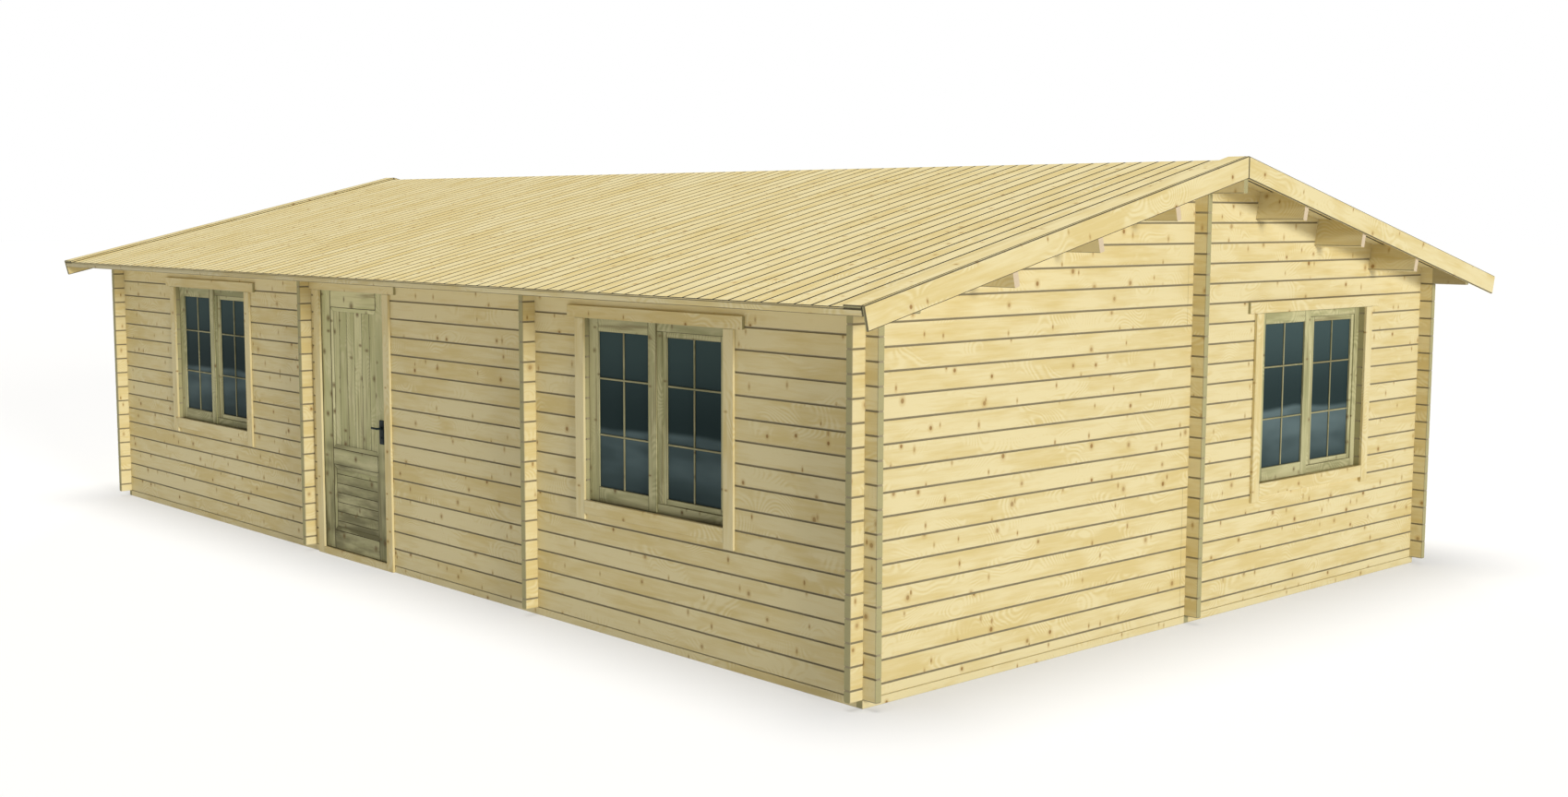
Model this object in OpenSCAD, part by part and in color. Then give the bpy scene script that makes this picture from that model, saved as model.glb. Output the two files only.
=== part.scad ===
// Wooden house of machined logs: interlocking log walls on bearers, a purlin roof of boards,
// three casement windows and one hinged front door.
// Millimetres, Z up. Origin at the middle of the footprint, at ground level.
// The front faces -Y. The gable with the window faces +X and is called the right gable.

/* [Walls] */
// Length over the outer faces of the two gable walls
wall_l = 9990; // [9700:10:10500]
// Width over the outer faces of the front and back walls
wall_w = 6190; // [5900:10:6500]
// Thickness of a log
log_t = 45; // [40:1:54]
// Height of one course of logs
log_pitch = 135; // [128:1:142]
// Full courses below the wall plates
course_n = 16; // [16:1:17]
// Bevel along the edges of a log
log_bevel = 6; // [3:0.5:8]
// Projection of the log ends beyond a crossing wall
end_p = 100; // [70:5:140]
// Hairline between courses and in the notches
log_gap = 0.5; // [0.3:0.1:0.8]
// Height of the bearers under the walls
bearer_h = 50; // [46:1:70]
// Distance of a splice in the logs from the middle of the wall that crosses beside it
splice_at = 77; // [60:1:95]
// Gap of a splice
splice_gap = 2; // [1:0.5:3]
// Spliced courses over the gable window
splice_courses = 3; // [2:1:3]

/* [Inner walls] */
// Middle of the left cross wall, from the outer face of the left gable
left_cross_at = 3730; // [3500:10:3900]
// Middle of the right cross wall, from the outer face of the right gable
right_cross_at = 3140; // [3000:10:3400]
// Width of the doorways in the inner walls
inner_door_w = 860; // [700:10:1000]
// Full courses that an inner doorway is high
inner_door_courses = 14; // [13:1:14]
// Middle of the doorways in the cross walls, towards the back from the ridge line
cross_door_y = -1500; // [-1700:10:-1300]
// Middle of the spine wall's doorway, from the outer face of the right gable
spine_door_at = 2200; // [1900:10:2300]

/* [Floor] */
// Thickness of the floor boards
floor_t = 26; // [20:1:30]
// Width of a floor batten
batten_w = 45; // [38:1:60]
// Largest distance between floor battens
batten_step = 600; // [450:10:700]
// Gap between the floor and the bearers round it
floor_gap = 6; // [3:1:10]

/* [Roof] */
// Slope of the roof in degrees
roof_deg = 13.57; // [12.5:0.1:14.5]
// Height of the wall plates at the outer face of the wall
plate_h = 114; // [105:1:125]
// Thickness of the roof boards
deck_t = 19; // [16:1:24]
// Overhang of the roof at the eaves, to the outer face of the fascia
eave_over = 397; // [340:5:440]
// Overhang of the roof at the gables, to the outer face of the barge boards
gable_over = 383; // [320:1:440]
// Thickness of the barge boards
barge_t = 20; // [16:1:25]
// Depth of the barge boards
barge_d = 140; // [120:5:160]
// Width of the verge caps
cap_w = 140; // [110:5:160]
// Thickness of the verge caps
cap_t = 20; // [16:1:25]
// Thickness of the eave fascia
fascia_t = 20; // [16:1:25]
// Depth of the eave fascia
fascia_d = 41; // [36:1:60]
// Thickness of the purlins
purlin_t = 45; // [38:1:54]
// Depth of the purlins, which stand square to the slope
purlin_d = 191; // [170:1:200]
// Depth of the ridge purlin
ridge_d = 198; // [180:1:210]
// Distance of the purlins from the ridge and from each other, along the slope
purlin_step = 790; // [750:5:810]

/* [Windows] */
// Width of a window opening
win_w = 1390; // [1200:10:1440]
// Course on top of which a window opening starts
win_sill_course = 6; // [5:1:7]
// Courses that a window opening is high
win_courses = 9; // [8:1:9]
// Middle of the left front window, from the outer face of the left gable
win_left_at = 1898; // [1700:10:2000]
// Middle of the right front window, from the outer face of the right gable
win_right_at = 1857; // [1700:10:1900]
// Middle of the gable window, from the outer face of the back wall
win_gable_at = 1584; // [1400:10:1700]
// Face width of the window frame's posts and sill
win_frame_w = 60; // [54:1:64]
// Height of the window frame's head
win_head_h = 70; // [60:1:74]
// Width of the window frame's middle post
win_post_w = 90; // [80:1:96]
// Depth of the window frame
win_frame_d = 40; // [38:1:42]
// Setback of the window frame from the outer face of the wall
win_set = 42; // [38:1:44]
// Face width of the opening casement's stiles and rails
casement_w = 97; // [92:1:104]
// Face width of the casement's closing stile
closing_w = 77; // [72:1:84]
// Thickness of the lip with which the casement covers the frame
casement_lip = 12; // [9:1:14]
// Face width of the fixed sash
fixed_w = 36; // [30:1:44]
// Setback of the fixed sash in the frame
fixed_set = 8; // [4:1:12]
// Thickness of a sash in its frame
sash_t = 28; // [26:1:28]
// Running gap round the casement
sash_gap = 3; // [2:0.5:4]
// Thickness of the glass
glass_t = 6; // [4:1:10]
// Setback of the glass in its sash
glass_in = 14; // [11:1:16]
// Depth of the glazing rebate
rebate = 10; // [8:1:12]

/* [Trim boards] */
// Width of the trim boards
trim_w = 90; // [70:5:100]
// Thickness of the trim boards
trim_t = 20; // [15:1:24]
// Length of the head trim beyond the side trims
trim_over = 84; // [40:2:100]
// Length of a window's side trims below its bottom trim
trim_horn = 38; // [20:1:60]
// Overlap of a head trim over its opening
trim_lap = 16; // [5:1:25]

/* [Door] */
// Distance of the door leaf from the inner face of the left cross wall
door_at = 150; // [148:1:300]
// Width of the door leaf
leaf_w = 996; // [900:2:1010]
// Thickness of the door leaf
leaf_t = 40; // [36:1:44]
// Clearance round the door leaf
leaf_gap = 6; // [5:0.5:8]
// Setback of the leaf from the outer face of the wall
leaf_set = 5; // [5:0.5:8]
// Lap of the outer door trim over the leaf, which it stops
leaf_lap = 8; // [5:1:12]
// Face width of the door jambs
jamb_w = 40; // [34:1:45]
// Thickness of the door head
door_head_t = 40; // [36:1:44]
// Settling gap over the door head
settle = 35; // [28:1:42]
// Width of the door jamb that shows beside the inner trim
jamb_show = 26; // [20:1:28]
// Height of the threshold board above the bearers
threshold_up = 5; // [2:1:5]
// Width of the leaf stiles
stile_w = 149; // [130:1:155]
// Height of the leaf's top rail
top_rail_h = 139; // [120:1:150]
// Height of the leaf's bottom rail
foot_rail_h = 152; // [130:1:165]
// Height of the lock rail
lock_rail_h = 131; // [120:1:150]
// Height of the lock rail's top edge above the leaf's foot
lock_rail_top = 813; // [780:1:860]
// Thickness of the leaf's panels
panel_t = 18; // [16:1:20]
// Width of the mouldings round the panels
mould_w = 32; // [26:1:38]
// Width of a moulding's level crest
mould_crest = 7; // [5:1:9]
// Depth of a moulding's crest below the face of the leaf
mould_drop = 3; // [2:0.5:4]
// Thickness of a moulding at its inner edge
mould_edge = 2.5; // [2:0.5:3.5]

/* [Door furniture] */
// Height of the handle's spindle above the leaf's foot
spindle_up = 1036; // [980:1:1080]
// Distance of the spindle from the leaf's edge
backset = 80; // [70:1:90]
// Width of a handle plate
plate_w = 66; // [54:2:70]
// Height of a handle plate
handle_plate_h = 186; // [160:2:220]
// Height of a handle plate above the spindle
plate_above = 63; // [50:1:75]
// Thickness of a handle plate
handle_plate_t = 6; // [4:1:8]
// Corner radius of a handle plate
plate_r = 8; // [4:1:12]
// Radius of the collar round a lever's neck
collar_r = 14.5; // [12:0.5:17]
// Height of the collar above its plate
collar_h = 7; // [5:1:9]
// Depth of the key cylinder below the spindle
key_down = 72; // [66:1:80]
// Radius of the key cylinder
key_r = 11; // [8:0.5:13]
// Height of the key cylinder above its plate
key_h = 3; // [2:0.5:5]
// Length of a lever from the spindle
lever_l = 90; // [80:2:110]
// Diameter of a lever
lever_d = 17; // [14:1:18]
// Distance of a lever's middle from the face of the leaf
lever_out = 42; // [38:1:48]
// Radius of the bend between a lever and its neck
lever_bend = 16; // [12:1:20]
// Radius of a hinge barrel
barrel_r = 8; // [7:0.5:9]
// Radius of a hinge pin
pin_r = 4.5; // [3.5:0.5:5]
// Running clearance of the hinge pins
pin_gap = 0.3; // [0.2:0.05:0.4]
// Height of one half of a hinge barrel
barrel_h = 45; // [35:1:55]
// Distance of the outer hinges from the foot and the top of the leaf
hinge_in = 210; // [180:10:260]
// Thickness of a hinge plate
hinge_plate_t = 2; // [1.5:0.25:2]

/* [Hidden] */
// Fit between pieces that bear on each other
fit = 0.3;
// Overrun of a cut beyond the face that it opens
cut = 5;

half_l = wall_l / 2;
half_w = wall_w / 2;
quarter = log_pitch / 4;

// Faces and middles of the walls
gable_x = half_l - log_t / 2;
side_y = half_w - log_t / 2;
left_cross_x = -half_l + left_cross_at;
right_cross_x = half_l - right_cross_at;
// Splice of the logs that run the whole length of the house
splice_x = right_cross_x + splice_at;

// Heights: foot of the walls, foot of the wall plates, apex of the roof's underside
wall_z = bearer_h;
plate_z = wall_z + course_n * log_pitch;
rise = tan(roof_deg);
apex_z = plate_z + plate_h + rise * half_w;
// Courses of the gable walls start with half a log, so they lie half a pitch higher
gable_z = wall_z + log_pitch / 2;
gable_n = ceil((apex_z - gable_z) / log_pitch);
ridge_z = apex_z - ridge_d;
// Courses of the spine wall up to the ridge purlin
spine_n = ceil((ridge_z - wall_z) / log_pitch);
// Ends of everything that reaches out to the barge boards
roof_x = half_l + gable_over - barge_t;
deck_run = half_w + eave_over;

// Floor
floor_z = bearer_h;
batten_h = bearer_h - floor_t;

// Window openings, from course to course
win_z0 = wall_z + win_sill_course * log_pitch;
win_z1 = win_z0 + win_courses * log_pitch;
win_left_x = -half_l + win_left_at;
win_right_x = half_l - win_right_at;
win_gable_y = half_w - win_gable_at;

// Door
door_x = left_cross_x + log_t / 2 + door_at + leaf_w / 2;
frame_in_w = leaf_w + 2 * leaf_gap;
frame_out_w = frame_in_w + 2 * jamb_w;
door_open_w = frame_out_w + 2 * cut;
door_head_z = plate_z - settle - door_head_t;
leaf_z0 = floor_z + leaf_gap;
leaf_z1 = door_head_z - leaf_gap;
leaf_y0 = -half_w + leaf_set;
leaf_y1 = leaf_y0 + leaf_t;
leaf_x0 = door_x - leaf_w / 2;
leaf_x1 = door_x + leaf_w / 2;
hinge_x = leaf_x0 - leaf_gap / 2;
hinge_y = leaf_y1 + barrel_r + 1;
hinge_zs = [leaf_z0 + hinge_in, (leaf_z0 + leaf_z1) / 2, leaf_z1 - hinge_in - 2 * barrel_h];
lock_z1 = leaf_z0 + lock_rail_top;
lock_z0 = lock_z1 - lock_rail_h;
// The outer trim covers the jambs and laps over the leaf, the inner trim lets it swing
door_trim_in = leaf_w / 2 - leaf_lap;
door_trim_z = leaf_z1 - leaf_lap;
inner_trim_in = frame_in_w / 2 + jamb_show;
inner_trim_z = door_head_z + jamb_show;

// Inner doorways, from the floor to a seam of their wall
cross_door_z = gable_z + inner_door_courses * log_pitch;
spine_door_z = wall_z + (inner_door_courses + 1) * log_pitch;
spine_door_x = half_l - spine_door_at;

// Colours
pine = [0.91, 0.84, 0.62];
pine_dark = [0.80, 0.72, 0.50];
treated = [0.66, 0.66, 0.48];
glass_blue = [0.18, 0.24, 0.27];
black_metal = [0.10, 0.11, 0.14];
steel = [0.62, 0.63, 0.65];

// Box between two corners
module block(a, b) {
    translate(a) cube(b - a);
}

// Points in the plane of a gable: u runs down the front slope from the ridge, n stands off
// the underside of the roof boards
function slope_pt(u, n) =
    [-u * cos(roof_deg) - n * sin(roof_deg), apex_z - u * sin(roof_deg) + n * cos(roof_deg)];
// Where the slope's plane at stand-off n is cut plumb at distance d from the ridge line
function plumb_u(d, n) = (d - n * sin(roof_deg)) / cos(roof_deg);
// Height of the roof boards' underside at distance d from the ridge line
function under_z(d) = apex_z - rise * d;

// Outline in the gable's plane, stretched along X
module along_x(x0, x1, pts) {
    translate([x0, 0, 0]) rotate([90, 0, 90]) linear_extrude(x1 - x0) polygon(pts);
}

// Section of a log, as high as its course
module log_section(h) {
    s = log_t / 2;
    b = log_bevel;
    polygon([[-s + b, 0], [s - b, 0], [s, b], [s, h - b], [s - b, h], [-s + b, h], [-s, h - b], [-s, b]]);
}

// One log along X, between a and b, with the course's foot at z.
// Crossings are [middle, depth of the notch below, depth of the notch above].
module log_piece(a, b, z, h, crossings) {
    w = log_t / 2 + log_gap;
    difference() {
        translate([a, 0, z]) rotate([90, 0, 90]) linear_extrude(b - a) log_section(h - log_gap);
        for (c = crossings) if (c[0] > a && c[0] < b) {
            if (c[1] > 0) block([c[0] - w, -log_t, z - cut], [c[0] + w, log_t, z + c[1]]);
            if (c[2] > 0) block([c[0] - w, -log_t, z + h - log_gap - c[2]], [c[0] + w, log_t, z + h + cut]);
        }
    }
}

// Stretches of a course that are left between its cuts, in order
function stretches(a, b, cuts) =
    let (p = concat([a], [for (c = cuts) each c], [b]))
    [for (i = [0 : 2 : len(p) - 2]) if (p[i + 1] - p[i] > 1) [p[i], p[i + 1]]];

// Cuts of the openings that a course lies in wholly. Openings are [from, to, foot, top].
function course_cuts(openings, z, h) =
    [for (o = openings) if (z > o[2] - 1 && z + h < o[3] + 1) [o[0], o[1]]];

// One course, in pieces
module course(a, b, z, h, crossings, openings) {
    for (s = stretches(a, b, course_cuts(openings, z, h)))
        log_piece(s[0], s[1], z, h, crossings);
}

// Courses of a wall that runs along X, from bearer to wall plate
module lengthwise_courses(a, b, crossings, openings) {
    notches = [for (c = crossings) [c, quarter, quarter]];
    for (k = [0 : course_n - 1])
        course(a, b, wall_z + k * log_pitch, log_pitch, notches, openings);
}

// Pockets that the purlins take out of a gable, along X like the wall that they cross
module purlin_pockets() {
    rotate([0, 0, -90]) {
        along_x(-log_t, log_t, ridge_pocket());
        for (i = [1 : 3]) {
            along_x(-log_t, log_t, purlin_pocket(i));
            mirror([0, 1, 0]) along_x(-log_t, log_t, purlin_pocket(i));
        }
    }
}

// Space under the roof, along X like the wall that it cuts
module roof_space() {
    d = half_w;
    rotate([0, 0, -90]) along_x(-log_t, log_t, [[-d, 0], [d, 0], [d, under_z(d) - fit], [0, apex_z - fit], [-d, under_z(d) - fit]]);
}

// Gable-shaped wall, drawn along X and turned to lie along Y at x.
// Crossings of the spine are given by with_spine, and openings as [from, to, foot, top].
module gable_shape_wall(x, with_spine, openings) {
    reach = half_w + end_p;
    inner = half_w - log_t - log_gap;
    sides = [-side_y, side_y];
    spine_top = [-log_t / 2 - log_gap, log_t / 2 + log_gap, gable_z + (spine_n - 1) * log_pitch, apex_z + log_pitch];
    all_openings = with_spine ? concat([spine_top], openings) : openings;
    half_notch = [for (c = sides) [c, 0, quarter]];
    side_notch = [for (c = sides) [c, quarter, quarter]];
    spine_notch = with_spine ? [[0, quarter, quarter]] : [];
    spine_half = with_spine ? [[0, 0, quarter]] : [];
    translate([x, 0, 0]) rotate([0, 0, 90]) {
        course(-reach, reach, wall_z, log_pitch / 2, concat(half_notch, spine_half), openings);
        for (j = [0 : course_n - 1])
            course(-reach, reach, gable_z + j * log_pitch, log_pitch, concat(side_notch, spine_notch), openings);
        for (j = [course_n : gable_n - 1])
            difference() {
                intersection() {
                    course(-inner, inner, gable_z + j * log_pitch, log_pitch, spine_notch, all_openings);
                    roof_space();
                }
                purlin_pockets();
            }
    }
}

// Foot of a beam's outline between a and b, at height z, with bevelled edges
function beam_foot(a, b, z) =
    [[a, z + log_bevel], [a + log_bevel, z], [b - log_bevel, z], [b, z + log_bevel]];

// Outline of the ridge purlin
function ridge_outline() =
    let (s = purlin_t / 2, t = under_z(s) - fit)
    concat(beam_foot(-s, s, ridge_z), [[s, t], [0, apex_z - fit], [-s, t]]);

// Outline of the pocket for the ridge purlin
function ridge_pocket() =
    let (s = purlin_t / 2 + log_gap, z = ridge_z - log_gap)
    [[-s, z], [s, z], [s, apex_z + cut], [-s, apex_z + cut]];

// Outline of purlin i of the front slope
function purlin_outline(i) =
    let (u0 = i * purlin_step - purlin_t / 2, u1 = u0 + purlin_t, foot = beam_foot(u0, u1, -purlin_d))
    [for (p = concat(foot, [[u1, -fit], [u0, -fit]])) slope_pt(p[0], p[1])];

// Outline of the pocket for purlin i of the front slope
function purlin_pocket(i) =
    let (u0 = i * purlin_step - purlin_t / 2 - log_gap, u1 = u0 + purlin_t + 2 * log_gap, n = -purlin_d - log_gap)
    [slope_pt(u0, n), slope_pt(u1, n), slope_pt(u1, cut), slope_pt(u0, cut)];

// Wall plate of the front: the last log, with its top cut to the slope and notched for the gables
module wall_plate() {
    b = log_bevel;
    y0 = -half_w;
    y1 = -half_w + log_t;
    w = log_t / 2 + log_gap;
    difference() {
        along_x(-roof_x + fit, roof_x - fit, [[y0 + b, plate_z], [y1 - b, plate_z], [y1, plate_z + b],
            [y1, under_z(half_w - log_t) - fit], [y0, under_z(half_w) - fit], [y0, plate_z + b]]);
        for (x = [-gable_x, left_cross_x, right_cross_x, gable_x])
            block([x - w, y0 - cut, plate_z - cut], [x + w, y1 + cut, plate_z + quarter]);
        block([splice_x, y0 - cut, plate_z - cut], [splice_x + splice_gap, y1 + cut, apex_z]);
    }
}

// Roof boards of the front slope, from the ridge to the fascia
module roof_deck() {
    u1 = plumb_u(deck_run, deck_t) - fascia_t - fit;
    along_x(-roof_x + fit, roof_x - fit, [slope_pt(plumb_u(fit, 0), 0), slope_pt(plumb_u(fit, deck_t), deck_t),
        slope_pt(u1, deck_t), slope_pt(u1, 0)]);
}

// Barge board of the front slope, at the gable that faces +X
module barge_board() {
    n1 = deck_t + cap_t;
    u1 = plumb_u(deck_run, deck_t);
    along_x(half_l + gable_over - barge_t, half_l + gable_over, [slope_pt(plumb_u(fit, n1 - barge_d), n1 - barge_d),
        slope_pt(plumb_u(fit, n1), n1), slope_pt(u1, n1), slope_pt(u1, n1 - barge_d)]);
}

// Verge cap of the front slope, at the gable that faces +X
module verge_cap() {
    n0 = deck_t + fit;
    n1 = deck_t + cap_t;
    u1 = plumb_u(deck_run, deck_t);
    along_x(roof_x - cap_w, roof_x - fit, [slope_pt(plumb_u(fit, n0), n0), slope_pt(plumb_u(fit, n1), n1),
        slope_pt(u1, n1), slope_pt(u1, n0)]);
}

// Eave fascia of the front slope, nailed to the ends of the roof boards
module eave_fascia() {
    u1 = plumb_u(deck_run, deck_t);
    u0 = u1 - fascia_t;
    along_x(-roof_x + fit, roof_x - fit, [slope_pt(u0, deck_t), slope_pt(u1, deck_t),
        slope_pt(u1, deck_t - fascia_d), slope_pt(u0, deck_t - fascia_d)]);
}

// Windows are drawn for a wall that faces -Y, with the opening's middle at x = 0 and the outer
// face of the wall at y = 0. Rectangles in the wall's plane are [x from, x to, foot, top].

// Rectangle drawn in by d on all sides
function drawn_in(r, d) = [r[0] + d, r[1] - d, r[2] + d, r[3] - d];

// Slab that fills a rectangle, from y0 to y1
module slab(r, y0, y1) {
    block([r[0], y0, r[2]], [r[1], y1, r[3]]);
}

// Ring between two rectangles, from y0 to y1
module ring(outer, inner, y0, y1) {
    difference() {
        slab(outer, y0, y1);
        slab(inner, y0 - cut, y1 + cut);
    }
}

// Ring of a sash, rebated for the glass behind its nose
module sash_ring(outer, nose, y0, y1) {
    ring(outer, nose, y0, y0 + glass_in - fit);
    ring(outer, drawn_in(nose, -rebate), y0, y1);
}

// Ring of a window taken apart into two posts of full height and two rails between them
module jointed(outer, inner) {
    deep = 2 * log_t;
    for (x = [[outer[0], inner[0]], [inner[1], outer[1]]])
        intersection() {
            union() children();
            slab([x[0], x[1], outer[2], outer[3]], 0, deep);
        }
    for (z = [[outer[2], inner[2]], [inner[3], outer[3]]])
        intersection() {
            union() children();
            slab([inner[0] + fit, inner[1] - fit, z[0], z[1]], 0, deep);
        }
}

// Outline of the window frame and of the space inside it, which the middle post divides
win_rect = [-win_w / 2 + fit, win_w / 2 - fit, win_z0 + fit, win_z1 - log_gap - fit];
win_light = [win_rect[0] + win_frame_w, win_rect[1] - win_frame_w, win_rect[2] + win_frame_w, win_rect[3] - win_head_h];

// The opening casement covers the frame with its lip and fills the left light
casement_y = win_set - fit - casement_lip;
casement_rect = [-win_w / 2 + sash_gap, -sash_gap / 2, win_z0 + sash_gap, win_z1 - log_gap - sash_gap];
casement_nose = [casement_rect[0] + casement_w, casement_rect[1] - closing_w,
    casement_rect[2] + casement_w, casement_rect[3] - casement_w];
casement_body = drawn_in([win_light[0], -win_post_w / 2, win_light[2], win_light[3]], sash_gap);

// The fixed sash fills the right light
fixed_y = win_set + fixed_set;
fixed_rect = drawn_in([win_post_w / 2, win_light[1], win_light[2], win_light[3]], fit);
fixed_nose = drawn_in(fixed_rect, fixed_w);

module window_frame() {
    y1 = win_set + win_frame_d;
    jointed(win_rect, win_light) ring(win_rect, win_light, win_set, y1);
    slab([-win_post_w / 2, win_post_w / 2, win_light[2] + fit, win_light[3] - fit], win_set, y1);
}

module window_sashes() {
    jointed(casement_rect, casement_nose) {
        ring(casement_rect, casement_nose, casement_y, win_set - fit);
        sash_ring(casement_body, casement_nose, casement_y, win_set + sash_t);
    }
    jointed(fixed_rect, fixed_nose) sash_ring(fixed_rect, fixed_nose, fixed_y, fixed_y + sash_t);
}

module window_glass() {
    lap = rebate - fit;
    slab(drawn_in(casement_nose, -lap), casement_y + glass_in, casement_y + glass_in + glass_t);
    slab(drawn_in(fixed_nose, -lap), fixed_y + glass_in, fixed_y + glass_in + glass_t);
}

// Trim boards on one face of the wall, between y0 and y1
module window_trim_set(y0, y1) {
    x0 = win_w / 2;
    x1 = x0 + trim_w;
    head_z = win_z1 - trim_lap;
    foot_z = win_z0 + 5;
    for (s = [0, 1]) mirror([s, 0, 0])
        block([x0, y0, foot_z - trim_w - trim_horn], [x1, y1, head_z - fit]);
    block([-x0 + fit, y0, foot_z - trim_w], [x0 - fit, y1, foot_z]);
    block([-x1 - trim_over, y0, head_z], [x1 + trim_over, y1, head_z + trim_w - 10]);
}

module window_trim() {
    window_trim_set(-trim_t - fit, -fit);
    difference() {
        window_trim_set(log_t + fit, log_t + fit + trim_t);
        block([-win_w / 2, log_t - cut, win_z0], [win_w / 2, log_t + trim_t + cut, win_z1]);
    }
}

module at_front_left() { translate([win_left_x, -half_w, 0]) children(); }
module at_front_right() { translate([win_right_x, -half_w, 0]) children(); }
module at_gable() { translate([half_l, win_gable_y, 0]) rotate([0, 0, 90]) children(); }

// Openings in the walls, as [from, to, foot, top]
function window_opening(m) = [m - win_w / 2, m + win_w / 2, win_z0, win_z1];
door_opening = [door_x - door_open_w / 2, door_x + door_open_w / 2, wall_z, plate_z];
cross_opening = [cross_door_y - inner_door_w / 2, cross_door_y + inner_door_w / 2, wall_z, cross_door_z];
spine_opening = [spine_door_x - inner_door_w / 2, spine_door_x + inner_door_w / 2, wall_z, spine_door_z];
long_crossings = [-gable_x, left_cross_x, right_cross_x, gable_x];

// Bearers

module outer_bearers() {
    color(pine_dark) {
        x1 = half_l - log_t;
        y1 = half_w - log_t;
        for (s = [0, 1]) mirror([0, s, 0]) {
            block([-x1 + fit, -half_w, 0], [x1 - fit, -y1, bearer_h - fit]);
            block([x1, -half_w, 0], [half_l, -log_t / 2 - fit, bearer_h - fit]);
        }
        block([-half_l, -half_w, 0], [-x1, half_w, bearer_h - fit]);
    }
}

module inner_bearers() {
    color(pine_dark) {
        y1 = half_w - log_t - fit;
        for (x = [left_cross_x, right_cross_x])
            block([x - log_t / 2, -y1, 0], [x + log_t / 2, y1, bearer_h - fit]);
        block([right_cross_x + log_t / 2 + fit, -log_t / 2, 0], [half_l, log_t / 2, bearer_h - fit]);
        block([right_cross_x - log_t / 2 - end_p, -log_t / 2, 0], [right_cross_x - log_t / 2 - fit, log_t / 2, bearer_h - fit]);
    }
}

// Rooms, as [x from, x to, y from, y to] between the inner faces of the walls
inner_x = half_l - log_t;
inner_y = half_w - log_t;
rooms = [[-inner_x, left_cross_x - log_t / 2, -inner_y, inner_y],
    [left_cross_x + log_t / 2, right_cross_x - log_t / 2, -inner_y, inner_y],
    [right_cross_x + log_t / 2, inner_x, -inner_y, -log_t / 2],
    [right_cross_x + log_t / 2, inner_x, log_t / 2, inner_y]];

module floor_battens() {
    color(pine_dark) for (r = rooms) {
        n = ceil((r[1] - r[0] - 2 * floor_gap - batten_w) / batten_step);
        step = (r[1] - r[0] - 2 * floor_gap - batten_w) / n;
        for (i = [0 : n]) {
            x = r[0] + floor_gap + i * step;
            meets_end = r == rooms[1] && x + batten_w > right_cross_x - log_t / 2 - end_p - floor_gap;
            if (meets_end) {
                block([x, r[2] + fit, 0], [x + batten_w, -log_t / 2 - fit, batten_h - fit]);
                block([x, log_t / 2 + fit, 0], [x + batten_w, r[3] - fit, batten_h - fit]);
            } else
                block([x, r[2] + fit, 0], [x + batten_w, r[3] - fit, batten_h - fit]);
        }
    }
}

module floor_boards() {
    color(pine) difference() {
        for (r = rooms)
            block([r[0] + floor_gap, r[2] + floor_gap, batten_h], [r[1] - floor_gap, r[3] - floor_gap, floor_z]);
        block([right_cross_x - log_t / 2 - end_p - floor_gap, -log_t / 2 - floor_gap, batten_h - cut],
            [right_cross_x, log_t / 2 + floor_gap, floor_z + cut]);
    }
}

// Log walls

module front_wall_left() {
    color(pine) translate([0, -side_y, 0])
        lengthwise_courses(-half_l - end_p, door_opening[0], long_crossings, [window_opening(win_left_x)]);
}

module front_wall_right() {
    color(pine) translate([0, -side_y, 0])
        lengthwise_courses(door_opening[1], half_l + end_p, long_crossings, [window_opening(win_right_x)]);
}

module back_wall() {
    splice = [splice_x, splice_x + splice_gap, wall_z, plate_z];
    color(pine) translate([0, side_y, 0])
        lengthwise_courses(-half_l - end_p, half_l + end_p, long_crossings, [splice]);
}

module left_gable_wall() {
    color(pine) gable_shape_wall(-gable_x, false, []);
}

module right_gable_wall() {
    y0 = win_gable_y - win_w / 2;
    y1 = win_gable_y + win_w / 2;
    x0 = half_l - log_t - cut;
    x1 = half_l + cut;
    // Courses under the window, and the first ones over it, are longer than a log
    under = gable_z + win_sill_course * log_pitch - log_gap / 2;
    over = under + (win_courses - 1) * log_pitch;
    color(pine) difference() {
        gable_shape_wall(gable_x, true, [window_opening(win_gable_y)]);
        block([x0, y0, win_z0], [x1, y1, win_z1 - log_gap]);
        block([x0, -splice_at - splice_gap, wall_z - cut], [x1, -splice_at, under]);
        block([x0, -splice_at - splice_gap, over], [x1, -splice_at, over + splice_courses * log_pitch]);
    }
}

module left_cross_wall() {
    color(pine) gable_shape_wall(left_cross_x, false, [cross_opening]);
}

module right_cross_wall() {
    color(pine) gable_shape_wall(right_cross_x, true, [cross_opening]);
}

module spine_wall() {
    a = right_cross_x - log_t / 2 - end_p;
    b = half_l + end_p;
    crossed = [right_cross_x, gable_x];
    notches = [for (c = crossed) [c, quarter, quarter]];
    top_notches = [for (c = crossed) [c, quarter, 0]];
    top_z = wall_z + (spine_n - 1) * log_pitch;
    color(pine) {
        for (k = [0 : spine_n - 2])
            course(a, b, wall_z + k * log_pitch, log_pitch, notches, [spine_opening]);
        course(a, b, top_z, ridge_z - top_z, top_notches, []);
    }
}

// Roof

module front_wall_plate() { color(pine) wall_plate(); }
module back_wall_plate() { color(pine) mirror([0, 1, 0]) wall_plate(); }

module ridge_purlin() {
    color(pine) along_x(-roof_x + fit, roof_x - fit, ridge_outline());
}

module front_purlins() {
    color(pine) for (i = [1 : 3]) along_x(-roof_x + fit, roof_x - fit, purlin_outline(i));
}

module back_purlins() {
    color(pine) mirror([0, 1, 0]) for (i = [1 : 3]) along_x(-roof_x + fit, roof_x - fit, purlin_outline(i));
}

module front_roof_deck() { color(pine) roof_deck(); }
module back_roof_deck() { color(pine) mirror([0, 1, 0]) roof_deck(); }

module right_barge_boards() {
    color(pine) for (s = [0, 1]) mirror([0, s, 0]) barge_board();
}

module left_barge_boards() {
    color(pine) mirror([1, 0, 0]) for (s = [0, 1]) mirror([0, s, 0]) barge_board();
}

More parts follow.
